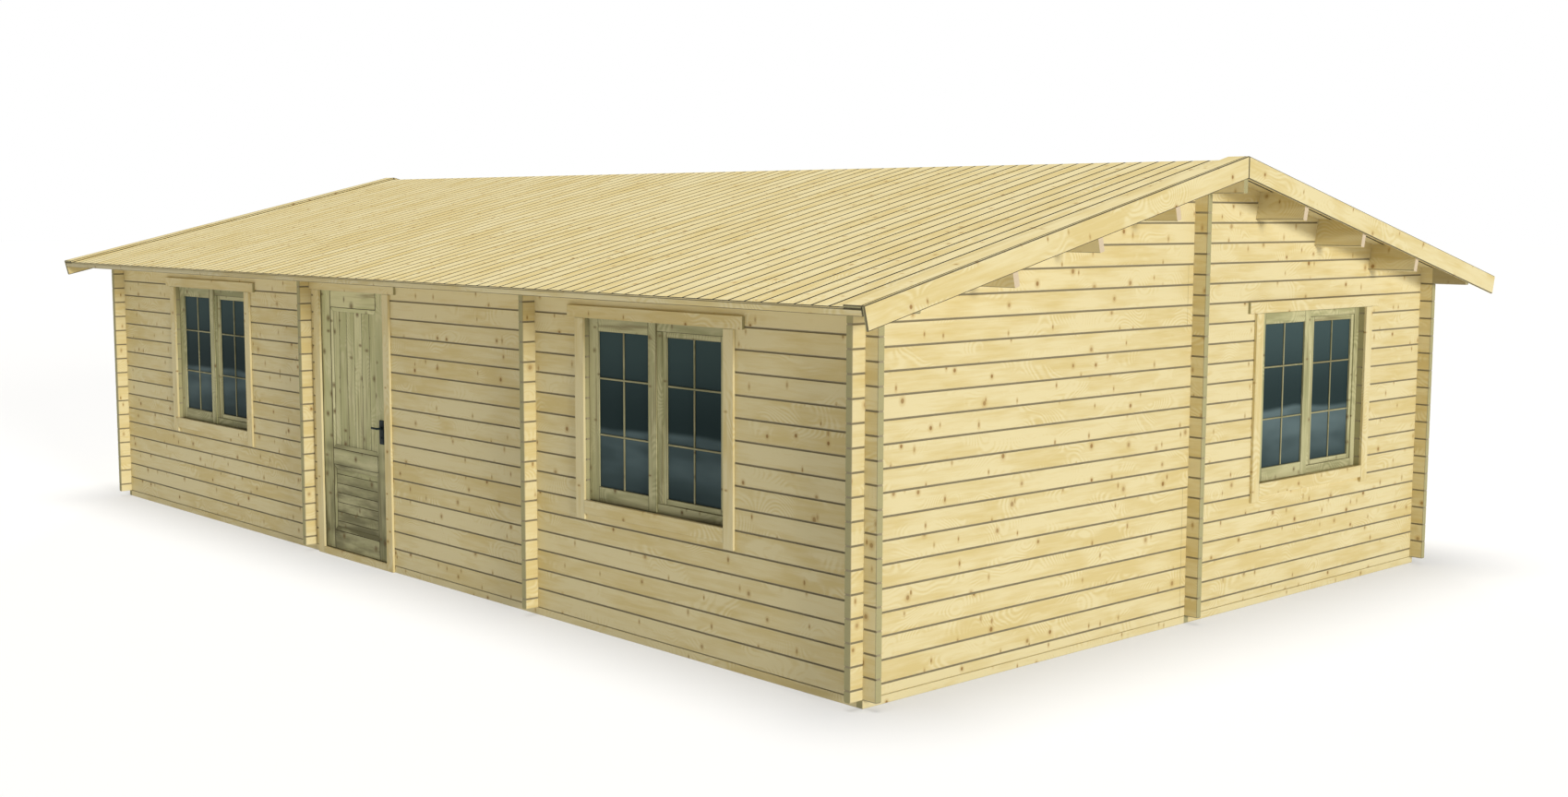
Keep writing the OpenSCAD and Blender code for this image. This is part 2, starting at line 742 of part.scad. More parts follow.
module verge_caps() {
    color(pine) for (e = [0, 1]) mirror([e, 0, 0]) for (s = [0, 1]) mirror([0, s, 0]) verge_cap();
}

module eave_fascias() {
    color(pine) for (s = [0, 1]) mirror([0, s, 0]) eave_fascia();
}

// Windows

module front_left_window_frame() { color(treated) at_front_left() window_frame(); }
module front_left_window_sashes() { color(treated) at_front_left() window_sashes(); }
module front_left_window_glass() { color(glass_blue) at_front_left() window_glass(); }
module front_left_window_trim() { color(pine) at_front_left() window_trim(); }
module front_right_window_frame() { color(treated) at_front_right() window_frame(); }
module front_right_window_sashes() { color(treated) at_front_right() window_sashes(); }
module front_right_window_glass() { color(glass_blue) at_front_right() window_glass(); }
module front_right_window_trim() { color(pine) at_front_right() window_trim(); }
module gable_window_frame() { color(treated) at_gable() window_frame(); }
module gable_window_sashes() { color(treated) at_gable() window_sashes(); }
module gable_window_glass() { color(glass_blue) at_gable() window_glass(); }
module gable_window_trim() { color(pine) at_gable() window_trim(); }

// Door

module door_frame() {
    x0 = frame_in_w / 2;
    x1 = frame_out_w / 2;
    y0 = -half_w;
    y1 = -half_w + log_t;
    color(treated) translate([door_x, 0, 0]) {
        for (s = [0, 1]) mirror([s, 0, 0])
            block([x0, y0, wall_z], [x1, y1, door_head_z + door_head_t]);
        block([-x0 + fit, y0, door_head_z], [x0 - fit, y1, door_head_z + door_head_t]);
    }
}

// Trim of the door on one face of the wall: two sides from foot_z, which stand side_x from the
// door's middle, and a head from left to right that starts at head_z
module door_trim_set(y0, y1, side_x, foot_z, head_z, left, right) {
    for (s = [0, 1]) translate([door_x, 0, 0]) mirror([s, 0, 0])
        block([side_x, y0, foot_z], [side_x + trim_w, y1, head_z - fit]);
    block([left, y0, head_z], [right, y1, head_z + trim_w]);
}

module door_outer_trim() {
    side = door_trim_in + trim_w;
    left = max(door_x - side - trim_over, left_cross_x + log_t / 2 + 2);
    y1 = -half_w - fit;
    color(pine) door_trim_set(y1 - trim_t, y1, door_trim_in, 0, door_trim_z, left, door_x + side + trim_over);
}

module door_inner_trim() {
    side = inner_trim_in + trim_w;
    y0 = -half_w + log_t + fit;
    color(pine)
        door_trim_set(y0, y0 + trim_t, inner_trim_in, floor_z + fit, inner_trim_z, door_x - side, door_x + side);
}

module door_threshold() {
    x1 = door_trim_in - fit;
    color(pine) block([door_x - x1, -half_w - trim_t - fit, 0], [door_x + x1, -half_w - fit, bearer_h + threshold_up]);
}

module door_hinge_pins() {
    color(steel) for (z = hinge_zs) {
        translate([hinge_x, hinge_y, z]) cylinder(h = barrel_h, r = barrel_r, $fn = 48);
        translate([hinge_x, hinge_y, z]) cylinder(h = 2 * barrel_h - 4, r = pin_r, $fn = 48);
        block([hinge_x - leaf_gap / 2 + fit, leaf_y0 + 8, z], [hinge_x - leaf_gap / 2 + fit + hinge_plate_t, hinge_y, z + barrel_h]);
    }
}

module door_hinge_barrels() {
    color(steel) for (z = hinge_zs) {
        z0 = z + barrel_h + pin_gap;
        difference() {
            union() {
                translate([hinge_x, hinge_y, z0]) cylinder(h = barrel_h - pin_gap, r = barrel_r, $fn = 48);
                block([hinge_x + leaf_gap / 2 - fit - hinge_plate_t, leaf_y0 + 8, z0], [hinge_x + leaf_gap / 2 - fit, hinge_y, z + 2 * barrel_h]);
            }
            translate([hinge_x, hinge_y, z0 - cut]) cylinder(h = barrel_h + 1, r = pin_r + pin_gap, $fn = 48);
        }
    }
}

module door_stiles_and_rails() {
    x0 = leaf_x0 + stile_w + fit;
    x1 = leaf_x1 - stile_w - fit;
    color(treated) {
        block([leaf_x0, leaf_y0, leaf_z0], [leaf_x0 + stile_w, leaf_y1, leaf_z1]);
        block([leaf_x1 - stile_w, leaf_y0, leaf_z0], [leaf_x1, leaf_y1, leaf_z1]);
        block([x0, leaf_y0, leaf_z0], [x1, leaf_y1, leaf_z0 + foot_rail_h]);
        block([x0, leaf_y0, lock_z0], [x1, leaf_y1, lock_z1]);
        block([x0, leaf_y0, leaf_z1 - top_rail_h], [x1, leaf_y1, leaf_z1]);
    }
}

// Section of a moulding: its foot lies on the panel at y = 0, its crest at x = 0
module moulding_section() {
    h = (leaf_t - panel_t) / 2 - mould_drop;
    polygon([[0, fit], [mould_w, fit], [mould_w, mould_edge], [mould_crest, h], [0, h]]);
}

// One length of moulding, l long, mitred at both ends, with its back edge along X
module moulding(l) {
    intersection() {
        rotate([90, 0, 90]) linear_extrude(l) moulding_section();
        linear_extrude(leaf_t) polygon([[fit, 0], [l - fit, 0], [l - mould_w - fit, mould_w], [mould_w + fit, mould_w]]);
    }
}

// Mouldings round a panel that is w wide and h high, on its face at z = 0
module moulding_set(w, h) {
    moulding(w);
    translate([w, 0, 0]) rotate([0, 0, 90]) moulding(h);
    translate([w, h, 0]) rotate([0, 0, 180]) moulding(w);
    translate([0, h, 0]) rotate([0, 0, 270]) moulding(h);
}

// One panel of the leaf from z0 to z1, with mouldings on both faces
module door_panel(z0, z1) {
    x0 = leaf_x0 + stile_w + fit;
    x1 = leaf_x1 - stile_w - fit;
    y = (leaf_y0 + leaf_y1) / 2;
    block([x0, y - panel_t / 2, z0], [x1, y + panel_t / 2, z1]);
    translate([x0, y, z0]) for (s = [0, 1]) mirror([0, s, 0])
        translate([0, -panel_t / 2, 0]) rotate([90, 0, 0]) moulding_set(x1 - x0, z1 - z0);
}

module door_panels() {
    color(treated) {
        door_panel(leaf_z0 + foot_rail_h + fit, lock_z0 - fit);
        door_panel(lock_z1 + fit, leaf_z1 - top_rail_h - fit);
    }
}

// Plate of a handle, with round corners
module handle_plate() {
    s = plate_w / 2;
    rotate([90, 0, 0]) linear_extrude(handle_plate_t) offset(r = plate_r, $fn = 32)
        translate([-s + plate_r, plate_above - handle_plate_h + plate_r])
            square([plate_w - 2 * plate_r, handle_plate_h - 2 * plate_r]);
}

// One lever handle on the face at y = 0, standing out towards -Y, with the lever towards -X
module lever_handle() {
    r = lever_d / 2;
    neck = lever_out - lever_bend;
    handle_plate();
    translate([0, 0, -key_down]) rotate([90, 0, 0]) cylinder(h = handle_plate_t + key_h, r = key_r, $fn = 32);
    rotate([90, 0, 0]) cylinder(h = handle_plate_t + collar_h, r = collar_r, $fn = 32);
    rotate([90, 0, 0]) cylinder(h = neck, r = r, $fn = 32);
    translate([-lever_bend, -neck, 0]) rotate([0, 0, -90])
        rotate_extrude(angle = 90, $fn = 64) translate([lever_bend, 0]) circle(r, $fn = 32);
    translate([-lever_bend, -lever_out, 0]) rotate([0, -90, 0]) {
        cylinder(h = lever_l - lever_bend - r, r = r, $fn = 32);
        translate([0, 0, lever_l - lever_bend - r]) cylinder(h = r, r1 = r, r2 = r / 2, $fn = 32);
    }
}

module door_handles() {
    x = leaf_x1 - backset;
    z = leaf_z0 + spindle_up;
    color(black_metal) {
        translate([x, leaf_y0 - fit, z]) lever_handle();
        translate([x, leaf_y1 + fit, z]) mirror([0, 1, 0]) lever_handle();
    }
}

outer_bearers();
inner_bearers();
floor_battens();
floor_boards();
front_wall_left();
front_wall_right();
back_wall();
left_gable_wall();
right_gable_wall();
left_cross_wall();
right_cross_wall();
spine_wall();
front_wall_plate();
back_wall_plate();
ridge_purlin();
front_purlins();
back_purlins();
front_roof_deck();
back_roof_deck();
left_barge_boards();
right_barge_boards();
verge_caps();
eave_fascias();
front_left_window_frame();
front_left_window_sashes();
front_left_window_glass();
front_left_window_trim();
front_right_window_frame();
front_right_window_sashes();
front_right_window_glass();
front_right_window_trim();
gable_window_frame();
gable_window_sashes();
gable_window_glass();
gable_window_trim();
door_frame();
door_outer_trim();
door_inner_trim();
door_threshold();
door_hinge_pins();
door_stiles_and_rails();
door_panels();
door_handles();
door_hinge_barrels();
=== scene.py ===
"""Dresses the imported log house: roof and floor boards, joinery, glass, handles, finishes and a pale stage."""

import math

import bmesh
import bpy
from bpy.props import FloatProperty, FloatVectorProperty, IntProperty, PointerProperty
from mathutils import Matrix, Vector, noise


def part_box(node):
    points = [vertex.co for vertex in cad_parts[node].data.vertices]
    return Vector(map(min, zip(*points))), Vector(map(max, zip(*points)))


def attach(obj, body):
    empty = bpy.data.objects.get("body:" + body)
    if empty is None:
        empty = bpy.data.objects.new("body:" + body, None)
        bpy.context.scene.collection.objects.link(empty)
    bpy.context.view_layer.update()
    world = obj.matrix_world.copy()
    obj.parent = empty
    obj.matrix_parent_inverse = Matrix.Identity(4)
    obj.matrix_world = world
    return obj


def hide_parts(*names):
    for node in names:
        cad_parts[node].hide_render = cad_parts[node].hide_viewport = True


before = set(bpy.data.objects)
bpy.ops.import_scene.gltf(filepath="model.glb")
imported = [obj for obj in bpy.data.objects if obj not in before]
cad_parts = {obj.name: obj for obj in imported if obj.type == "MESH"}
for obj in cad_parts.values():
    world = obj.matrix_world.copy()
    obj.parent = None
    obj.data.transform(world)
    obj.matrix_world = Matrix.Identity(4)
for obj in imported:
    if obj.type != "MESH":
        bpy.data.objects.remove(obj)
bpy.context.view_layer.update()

bl_info = {
    "name": "Log House Dressing",
    "version": (1, 0, 0),
    "blender": (4, 5, 0),
    "location": "View3D > Sidebar > Log House",
    "description": "Boards, joinery and finishes for a house of machined logs",
    "category": "Object",
}

WINDOWS = ("front_left_window", "front_right_window", "gable_window")
LENGTHWISE_LOGS = (
    "front_wall_left", "front_wall_right", "back_wall", "spine_wall", "front_wall_plate", "back_wall_plate",
)
CROSSWISE_LOGS = ("left_gable_wall", "right_gable_wall", "left_cross_wall", "right_cross_wall")
PURLINS = ("front_purlins", "back_purlins")
X_AXIS = Vector((1, 0, 0))
Y_AXIS = Vector((0, 1, 0))
Z_AXIS = Vector((0, 0, 1))
AXES = (X_AXIS, Y_AXIS, Z_AXIS)

# Air between two parts that would otherwise share a face
HAIR = 0.0003


# Sizes and colours that a user may change

def length(name, description, default):
    """A length with its unit."""
    return FloatProperty(name=name, description=description, default=default, unit="LENGTH")


def tint(name, description, default):
    """A colour of a finish."""
    return FloatVectorProperty(name=name, description=description, default=default, size=3, subtype="COLOR")


class LogHouseSizes(bpy.types.PropertyGroup):
    """Sizes of the boards, bars and grooves."""

    roof_pitch: FloatProperty(
        name="Roof pitch", description="Slope of the roof boards", default=math.radians(13.57),
        subtype="ANGLE")
    roof_boards: IntProperty(
        name="Roof boards", description="Boards on each slope", default=80, min=1)
    floor_board: length("Floor board", "Face width of a floor board", 0.12)
    roof_chamfer: length("Roof board chamfer", "Chamfer that makes the V joint of two roof boards", 0.0095)
    floor_chamfer: length("Floor board chamfer", "Chamfer that makes the joint of two floor boards", 0.0018)
    edge_round: length("Edge rounding", "Rounding of planed edges", 0.0025)
    roof_edge: length("Roof edge", "Chamfer of the barge boards, verge caps and fascias", 0.006)
    log_pitch: length("Log course", "Height of one log course", 0.135)
    # Log groove: half the height of the band of painted shade between two logs
    log_groove: length("Log groove", "Half the height of the groove between two logs", 0.0066)
    bar_width: length("Bar width", "Face width of a glazing bar", 0.012)
    bar_depth: length("Bar depth", "How far a bar stands off the glass", 0.008)
    bar_round: length("Bar rounding", "Rounding of the edges of a glazing bar", 0.0024)
    bar_levels: FloatVectorProperty(
        name="Bar levels", description="Heights of the two level bars, as parts of the pane", size=2,
        default=(0.338, 0.700))
    glass_lap: length("Glass lap", "Width of the glass that lies in its rebate", 0.0097)
    upper_panel_boards: IntProperty(
        name="Upper panel boards", description="Upright boards of the upper door panel", default=6, min=1)
    lower_panel_boards: IntProperty(
        name="Lower panel boards", description="Level boards of the lower door panel", default=7, min=1)
    panel_least: length("Least panel", "Depth that tells a door panel from its mouldings", 0.012)
    panel_chamfer: length("Panel chamfer", "Chamfer of the boards in a door panel", 0.0026)
    leaf_edge: length("Leaf edge", "Chamfer of the stiles and rails of the door leaf", 0.004)
    moulding_edge: length("Moulding edge", "Chamfer of the mouldings round a door panel", 0.003)


class LogHouseColours(bpy.types.PropertyGroup):
    """Colours of the finishes."""

    pine_light: tint("Pine, early wood", "Pale part of the grain", (0.700, 0.606, 0.340))
    pine_dark: tint("Pine, late wood", "Darker part of the grain", (0.622, 0.500, 0.222))
    pine_halo: tint("Knot halo", "Wood round a knot", (0.470, 0.295, 0.085))
    pine_knot: tint("Knot", "Heart of a knot", (0.235, 0.115, 0.022))
    pine_end: tint("End grain", "Sawn ends of logs and boards", (0.375, 0.342, 0.174))
    purlin_end: tint("Purlin end", "Fresh sawn ends of the purlins", (0.620, 0.505, 0.350))
    # Joint: painted shade in the grooves between logs and on the eased edges of boards and trims
    joint: tint("Joint", "Wood in the grooves between logs and boards", (0.300, 0.258, 0.156))
    # Roof joint: painted shade in the V joints and on the arrises of the roof, barge boards, caps and fascias
    roof_joint_shade: tint("Roof joint", "Wood in the joints and arrises of the roof", (0.040, 0.035, 0.022))
    treated_light: tint("Treated wood, early", "Pale part of the treated joinery", (0.610, 0.574, 0.318))
    treated_dark: tint("Treated wood, late", "Darker part of the treated joinery", (0.372, 0.362, 0.176))
    treated_stain: tint("Treated wood, stain", "Brown streaks in the treated joinery", (0.168, 0.117, 0.043))
    treated_damp: tint("Treated wood, damp", "Deeper wood at the foot of the leaf", (0.150, 0.138, 0.062))
    treated_knot: tint("Treated knot", "Heart of a knot in the treated joinery", (0.150, 0.088, 0.030))
    # Treated joint: painted shade in the joints, chamfers and panel grooves of the windows, bars and door
    treated_joint_shade: tint("Treated joint", "Wood in the joints of the treated joinery", (0.052, 0.042, 0.018))
    # Glass colours: a painted reflection of a dark room over a lit floor, darkest in the middle
    glass_head_reflection: tint("Glass, top", "Glass near its head", (0.050, 0.080, 0.081))
    glass_dark_reflection: tint("Glass, middle", "Glass in front of the dark room", (0.021, 0.036, 0.037))
    glass_floor_reflection: tint("Glass, foot", "Glass in front of the lit floor", (0.108, 0.154, 0.160))
    black_metal: tint("Black metal", "Coated door handles", (0.010, 0.019, 0.020))
    steel: tint("Hinge steel", "Plated hinge steel", (0.520, 0.510, 0.480))


class LogHouseSettings(bpy.types.PropertyGroup):
    """Everything that the operators read."""

    sizes: PointerProperty(type=LogHouseSizes, name="Sizes", description="Sizes of the pieces")
    colours: PointerProperty(type=LogHouseColours, name="Colours", description="Colours of the finishes")


# Patterns of the finishes

# How often each pattern of the wood repeats in a metre along, across and through a board
PATCHES = (1.6, 5.0, 5.0)
ARCHES = (2.7, 3.4, 3.4)
FIGURED_SPOTS = (2.6, 7.0, 7.0)
FIBRES = (5.0, 260.0, 260.0)
STREAKS = (3.4, 34.0, 34.0)
STAINS = (0.9, 20.0, 20.0)
DAMP_SPOTS = (2.2, 10.0, 10.0)
SAW_MARKS = (60.0, 160.0, 160.0)

# Detail and roughness of a fine noise
FINE = (3.0, 0.6)

# How much each pattern moves the shade, from pale wood at 0 to deep wood at 1
PATCH_SHADES = (0.84, 0.10)
FIGURED_PALER = -0.35
ARCH_SHADE = 0.42
FIBRE_SHADE = 0.30
STREAK_SHADE = 0.95

# Lines of the arched figure in one swing of its noise, and how far a knot bends them
ARCH_LINES = 27.0
KNOT_BEND = 0.5

# Knots: cells in a metre along and across, share of cells with a knot, least and greatest radius in cells
SLIT_KNOTS = ((5.2, 2.6), 0.78, (0.038, 0.056))
DISC_KNOTS = ((3.2, 2.9), 0.70, (0.044, 0.062))
KNOT_SCATTER = 0.95
SLIT_STRENGTH = 0.80
HEART_STRENGTH = 0.88
HALO_STRENGTH = 0.36

# Sawn ends: year rings in radians a metre, their share in the shade, and the two tones
YEAR_RINGS = 2200.0
RING_SHADE = 0.16
END_PALER = 1.12
END_DEEPER = 0.84

# Surface of the wood: roughness where planed and where sawn, gloss, and the relief of each pattern
PLANED_ROUGHNESS = (0.52, 0.68)
SAWN_ROUGHER = 0.16
WOOD_SPECULAR = 0.22
FIBRE_RELIEF = 0.50
ARCH_RELIEF = 0.08
SAW_RELIEF = 0.8
KNOT_RELIEF = -0.25
WOOD_BUMP = (0.26, 0.0016)

# Logs: cells in a metre that tell one wall from the next, and metres of grain between one log and the next
WALL_CELLS = 1.3
GRAIN_SHIFT = 23.0

# A face that looks along the grain more than this is a sawn end
END_FACING = 0.8

# A face that looks along no axis of its board more than this is an eased edge
FLAT_FACING = 0.97

# Painted shade along the outer arris of the log ends: where it starts and is full, in from the end, and how
# dark it is
ARRIS_START = 0.006
ARRIS_FULL = 0.004
ARRIS_SHADE_DEPTH = 0.7

# Chamfered edges of the purlins, which get painted shade: how much they look upward at least and at most, and
# how dark they are
CHAMFER_FROM = (0.35, 0.5)
CHAMFER_TO = (0.85, 0.95)
CHAMFER_SHADE_DEPTH = 0.9

# Paler and deeper tones made from the same colours
# The fascias get a darker copy of the pine: painted shade
FASCIA_SHADE_TONE = 0.80
BAR_TONE = 0.60
LEAF_PALE_TONE = 1.07
LEAF_DEEP_TONE = 1.36
RUBBED_TONE = 2.6
TARNISH_TONE = 0.55

# Door leaf: heights between which the damp fades out, and of the rails' edges where it gathers
LEAF_DAMP_FADES = (0.40, 1.15)
LEAF_RAIL_EDGES = (0.215, 0.730, 0.880)
RAIL_DAMP_WIDTH = 0.06

# Glass, with a painted reflection of a dark room over a lit floor: heights between which it pales to its head,
# where the room's horizon lies, and the lit floor below
REFLECTION_HEAD = (1.45, 2.05)
REFLECTED_HORIZON = (1.385, 1.425)
REFLECTED_FLOOR = (0.98, 1.30)
GLASS_WAVE = 0.10
GLASS_SPECULAR = 0.0075
GLASS_ALPHA = 0.98
METAL_SPECULAR = 0.08


class Finish:
    """A material under way, with short calls for the nodes that it is made of."""

    def __init__(self, name):
        self.material = bpy.data.materials.new(name)
        self.material.use_nodes = True
        self.tree = self.material.node_tree
        self.shader = self.tree.nodes["Principled BSDF"]

    def set(self, socket, value):
        if isinstance(value, bpy.types.NodeSocket):
            self.tree.links.new(value, socket)
        else:
            socket.default_value = value

    def surface(self, name, value):
        self.set(self.shader.inputs[name], value)

    def node(self, kind, inputs, **settings):
        made = self.tree.nodes.new(kind)
        for key, value in settings.items():
            setattr(made, key, value)
        for key, value in inputs.items():
            self.set(made.inputs[key], value)
        return made

    def math(self, operation, *values):
        return self.node("ShaderNodeMath", dict(enumerate(values)), operation=operation).outputs[0]

    def times(self, *values):
        result = values[0]
        for value in values[1:]:
            result = self.math("MULTIPLY", result, value)
        return result

    def total(self, *values):
        result = values[0]
        for value in values[1:]:
            result = self.math("ADD", result, value)
        return result

    def sway(self, value, amount):
        """A value between 0 and 1, turned into one that sways by an amount about 0."""
        return self.math("MULTIPLY_ADD", value, 2.0 * amount, -amount)

    def stretched(self, place, stretch):
        return self.node("ShaderNodeVectorMath", {0: place, 1: stretch}, operation="MULTIPLY").outputs[0]

    def noise(self, place, stretch, detail=2.0, roughness=0.5):
        inputs = {
            "Vector": self.stretched(place, stretch), "Scale": 1.0, "Detail": detail, "Roughness": roughness,
        }
        return self.node("ShaderNodeTexNoise", inputs).outputs["Fac"]

    def chance(self, **inputs):
        """A draw between 0 and 1 that stays the same within a cell."""
        dimensions = "2D" if "Vector" in inputs else "1D"
        return self.node("ShaderNodeTexWhiteNoise", inputs, noise_dimensions=dimensions).outputs["Value"]

    def rise(self, value, start, end, low=0.0, high=1.0):
        inputs = {"Value": value, "From Min": start, "From Max": end, "To Min": low, "To Max": high}
        return self.node("ShaderNodeMapRange", inputs, interpolation_type="SMOOTHSTEP").outputs["Result"]

    def blend(self, factor, first, second):
        first = first if isinstance(first, bpy.types.NodeSocket) else (*first, 1.0)
        second = second if isinstance(second, bpy.types.NodeSocket) else (*second, 1.0)
        return self.node("ShaderNodeMix", {0: factor, 6: first, 7: second}, data_type="RGBA").outputs[2]

    def attribute(self, name, output):
        return self.node("ShaderNodeAttribute", {}, attribute_name=name).outputs[output]

    def coordinates(self, name):
        return self.node("ShaderNodeTexCoord", {}).outputs[name]

    def parts(self, vector):
        return self.node("ShaderNodeSeparateXYZ", {0: vector}).outputs

    def vector(self, *values):
        return self.node("ShaderNodeCombineXYZ", dict(enumerate(values))).outputs[0]

    def bump(self, height, strength, distance):
        inputs = {"Height": height, "Strength": strength, "Distance": distance}
        self.surface("Normal", self.node("ShaderNodeBump", inputs).outputs[0])


def scaled(values, factor):
    """Each of some values times a factor: a paler or deeper colour, a finer pattern or larger radii."""
    return tuple(value * factor for value in values)


# Where the grain lies

def board_grain(finish):
    """Where the grain of a board lies, from the marks that its mesh carries."""
    return {
        "place": finish.attribute("wood_place", "Vector"),
        "tone": finish.attribute("wood_tone", "Fac"),
        "end": finish.attribute("wood_end", "Fac"),
        "seam": finish.attribute("wood_seam", "Fac"),
    }


def log_grain(finish, axis, first_seam, farthest, sizes):
    """Where the grain of the wall logs lies, which run along one axis in courses of even height."""
    point = finish.parts(finish.coordinates("Object"))
    normal = finish.parts(finish.coordinates("Normal"))
    depth = point[1 - axis]
    height = finish.math("DIVIDE", finish.math("SUBTRACT", point[2], first_seam), sizes.log_pitch)
    course = finish.math("FLOOR", height)
    wall = finish.math("FLOOR", finish.math("MULTIPLY_ADD", depth, WALL_CELLS, 0.5))
    chance = finish.chance(Vector=finish.vector(course, wall))
    along = finish.math("MULTIPLY_ADD", chance, GRAIN_SHIFT, point[axis])
    off_seam = finish.times(finish.math("PINGPONG", height, 0.5), sizes.log_pitch)
    # Painted shade in a band along each groove between two logs
    groove = finish.rise(off_seam, sizes.log_groove * 0.9, sizes.log_groove * 1.1, 1.0, 0.0)
    end = finish.math("GREATER_THAN", finish.math("ABSOLUTE", normal[axis]), END_FACING)
    # Painted shade along the outer arris of each log end
    arris = finish.rise(
        finish.math("ABSOLUTE", point[axis]), farthest - ARRIS_START, farthest - ARRIS_FULL, 0.0, ARRIS_SHADE_DEPTH)
    arris = finish.times(arris, finish.math("SUBTRACT", 1.0, end))
    return {
        "place": finish.vector(along, point[2], depth),
        "tone": chance,
        "end": end,
        "seam": finish.math("MAXIMUM", groove, arris),
    }


def beam_grain(finish):
    """Where the grain of the purlins lies, which run along X one beside the other, with chamfered edges."""
    point = finish.parts(finish.coordinates("Object"))
    normal = finish.parts(finish.coordinates("Normal"))
    row = finish.math("FLOOR", finish.math("MULTIPLY_ADD", point[1], WALL_CELLS, 0.5))
    chance = finish.chance(W=row)
    along = finish.math("MULTIPLY_ADD", chance, GRAIN_SHIFT, point[0])
    upward = finish.math("ABSOLUTE", normal[2])
    return {
        "place": finish.vector(along, point[2], point[1]),
        "tone": chance,
        "end": finish.math("GREATER_THAN", finish.math("ABSOLUTE", normal[0]), END_FACING),
        # Chamfered edges by how they face: painted shade
        "seam": finish.times(
            finish.rise(upward, *CHAMFER_FROM), finish.rise(upward, *CHAMFER_TO, CHAMFER_SHADE_DEPTH, 0.0)),
    }


# Finishes

def knots_of(finish, place, kind, close, bold):
    """Hearts and halos of one kind of knot, scattered over the wood."""
    cells_in_metre, share, radii = kind
    spread = finish.stretched(place, (*scaled(cells_in_metre, close), 1.0))
    inputs = {"Vector": spread, "Scale": 1.0, "Randomness": KNOT_SCATTER}
    cells = finish.node("ShaderNodeTexVoronoi", inputs, voronoi_dimensions="2D")
    draw = finish.node("ShaderNodeSeparateColor", {0: cells.outputs["Color"]}).outputs
    present = finish.math("LESS_THAN", draw[0], share)
    radius = finish.rise(draw[1], 0.0, 1.0, *scaled(radii, bold))
    near = finish.math("DIVIDE", cells.outputs["Distance"], radius)
    strength = finish.rise(draw[2], 0.0, 1.0, 0.55, 1.0)
    heart = finish.times(finish.rise(near, 0.45, 0.92, 1.0, 0.0), present, strength)
    halo = finish.times(finish.rise(near, 0.8, 2.0, 1.0, 0.0), present)
    return heart, halo


def figure_of(finish, place, halo):
    """Arched figure that bends round the knots, and the spots where it shows."""
    swing = finish.noise(place, ARCHES, 0.4)
    arch = finish.math("MULTIPLY_ADD", swing, ARCH_LINES, finish.times(halo, KNOT_BEND))
    figure = finish.math("SINE", finish.times(arch, 2 * math.pi))
    return figure, finish.rise(finish.noise(place, FIGURED_SPOTS, 1.0), 0.50, 0.62)


def sawn_end(finish, place, ends, sawn):
    """Colour of a sawn end, with year rings and the marks of the saw."""
    part = finish.parts(place)
    squares = [finish.math("POWER", part[index], 2.0) for index in (1, 2)]
    years = finish.math("SINE", finish.times(finish.math("SQRT", finish.total(*squares)), YEAR_RINGS))
    shade = finish.math("MULTIPLY_ADD", years, RING_SHADE, sawn)
    return finish.blend(shade, scaled(ends, END_PALER), scaled(ends, END_DEEPER))


def wood(finish, grain, tones, joint, ends, colours, vary=0.22, stain=0.0, damp=0.0, close=1.0, bold=1.0):
    """Planed softwood: pale and deep patches, arched figure, fibres, knots, sawn ends, and painted shade in
    joints and on eased edges.

    The tones are pale wood, deep wood, knot halo and knot. Damp is a share, or a function that gives one.
    """
    place, end = grain["place"], grain["end"]
    light, dark, round_knot, knot = tones
    side = finish.math("SUBTRACT", 1.0, end)
    slit_heart, slit_halo = knots_of(finish, place, SLIT_KNOTS, close, bold)
    disc_heart, disc_halo = knots_of(finish, place, DISC_KNOTS, close, bold)
    heart = finish.times(finish.math("MAXIMUM", finish.times(slit_heart, SLIT_STRENGTH), disc_heart), side)
    halo = finish.times(finish.math("MAXIMUM", slit_halo, disc_halo), side)
    figure, figured = figure_of(finish, place, halo)
    fibre = finish.noise(place, FIBRES, *FINE)
    sawn = finish.noise(place, SAW_MARKS, *FINE)
    shade = finish.total(
        finish.rise(finish.noise(place, PATCHES), 0.34, 0.66, *PATCH_SHADES),
        finish.times(figured, FIGURED_PALER), finish.times(figure, figured, ARCH_SHADE),
        finish.sway(fibre, FIBRE_SHADE), finish.sway(finish.noise(place, STREAKS, *FINE), STREAK_SHADE),
        finish.sway(grain["tone"], vary))
    shade = finish.math("MINIMUM", finish.math("MAXIMUM", shade, 0.0), 1.0)
    colour = finish.blend(shade, light, dark)
    if stain:
        streak = finish.rise(finish.noise(place, STAINS, 4.0, 0.62), 0.50, 0.74)
        colour = finish.blend(finish.times(streak, stain), colour, colours.treated_stain)
    if damp:
        share = damp(finish, grain) if callable(damp) else damp
        colour = finish.blend(share, colour, colours.treated_damp)
    colour = finish.blend(finish.times(halo, HALO_STRENGTH * bold), colour, round_knot)
    colour = finish.blend(finish.times(heart, HEART_STRENGTH), colour, knot)
    colour = finish.blend(end, colour, sawn_end(finish, place, ends, sawn))
    # Grooves, chamfers and eased edges take the joint colour: painted shade
    finish.surface("Base Color", finish.blend(grain["seam"], colour, joint))
    finish.surface("Roughness", finish.total(
        finish.rise(fibre, 0.3, 0.7, *PLANED_ROUGHNESS), finish.times(end, SAWN_ROUGHER)))
    finish.surface("Specular IOR Level", WOOD_SPECULAR)
    relief = finish.total(
        finish.times(fibre, FIBRE_RELIEF), finish.times(figure, figured, ARCH_RELIEF),
        finish.times(sawn, end, SAW_RELIEF), finish.times(heart, KNOT_RELIEF))
    finish.bump(relief, *WOOD_BUMP)


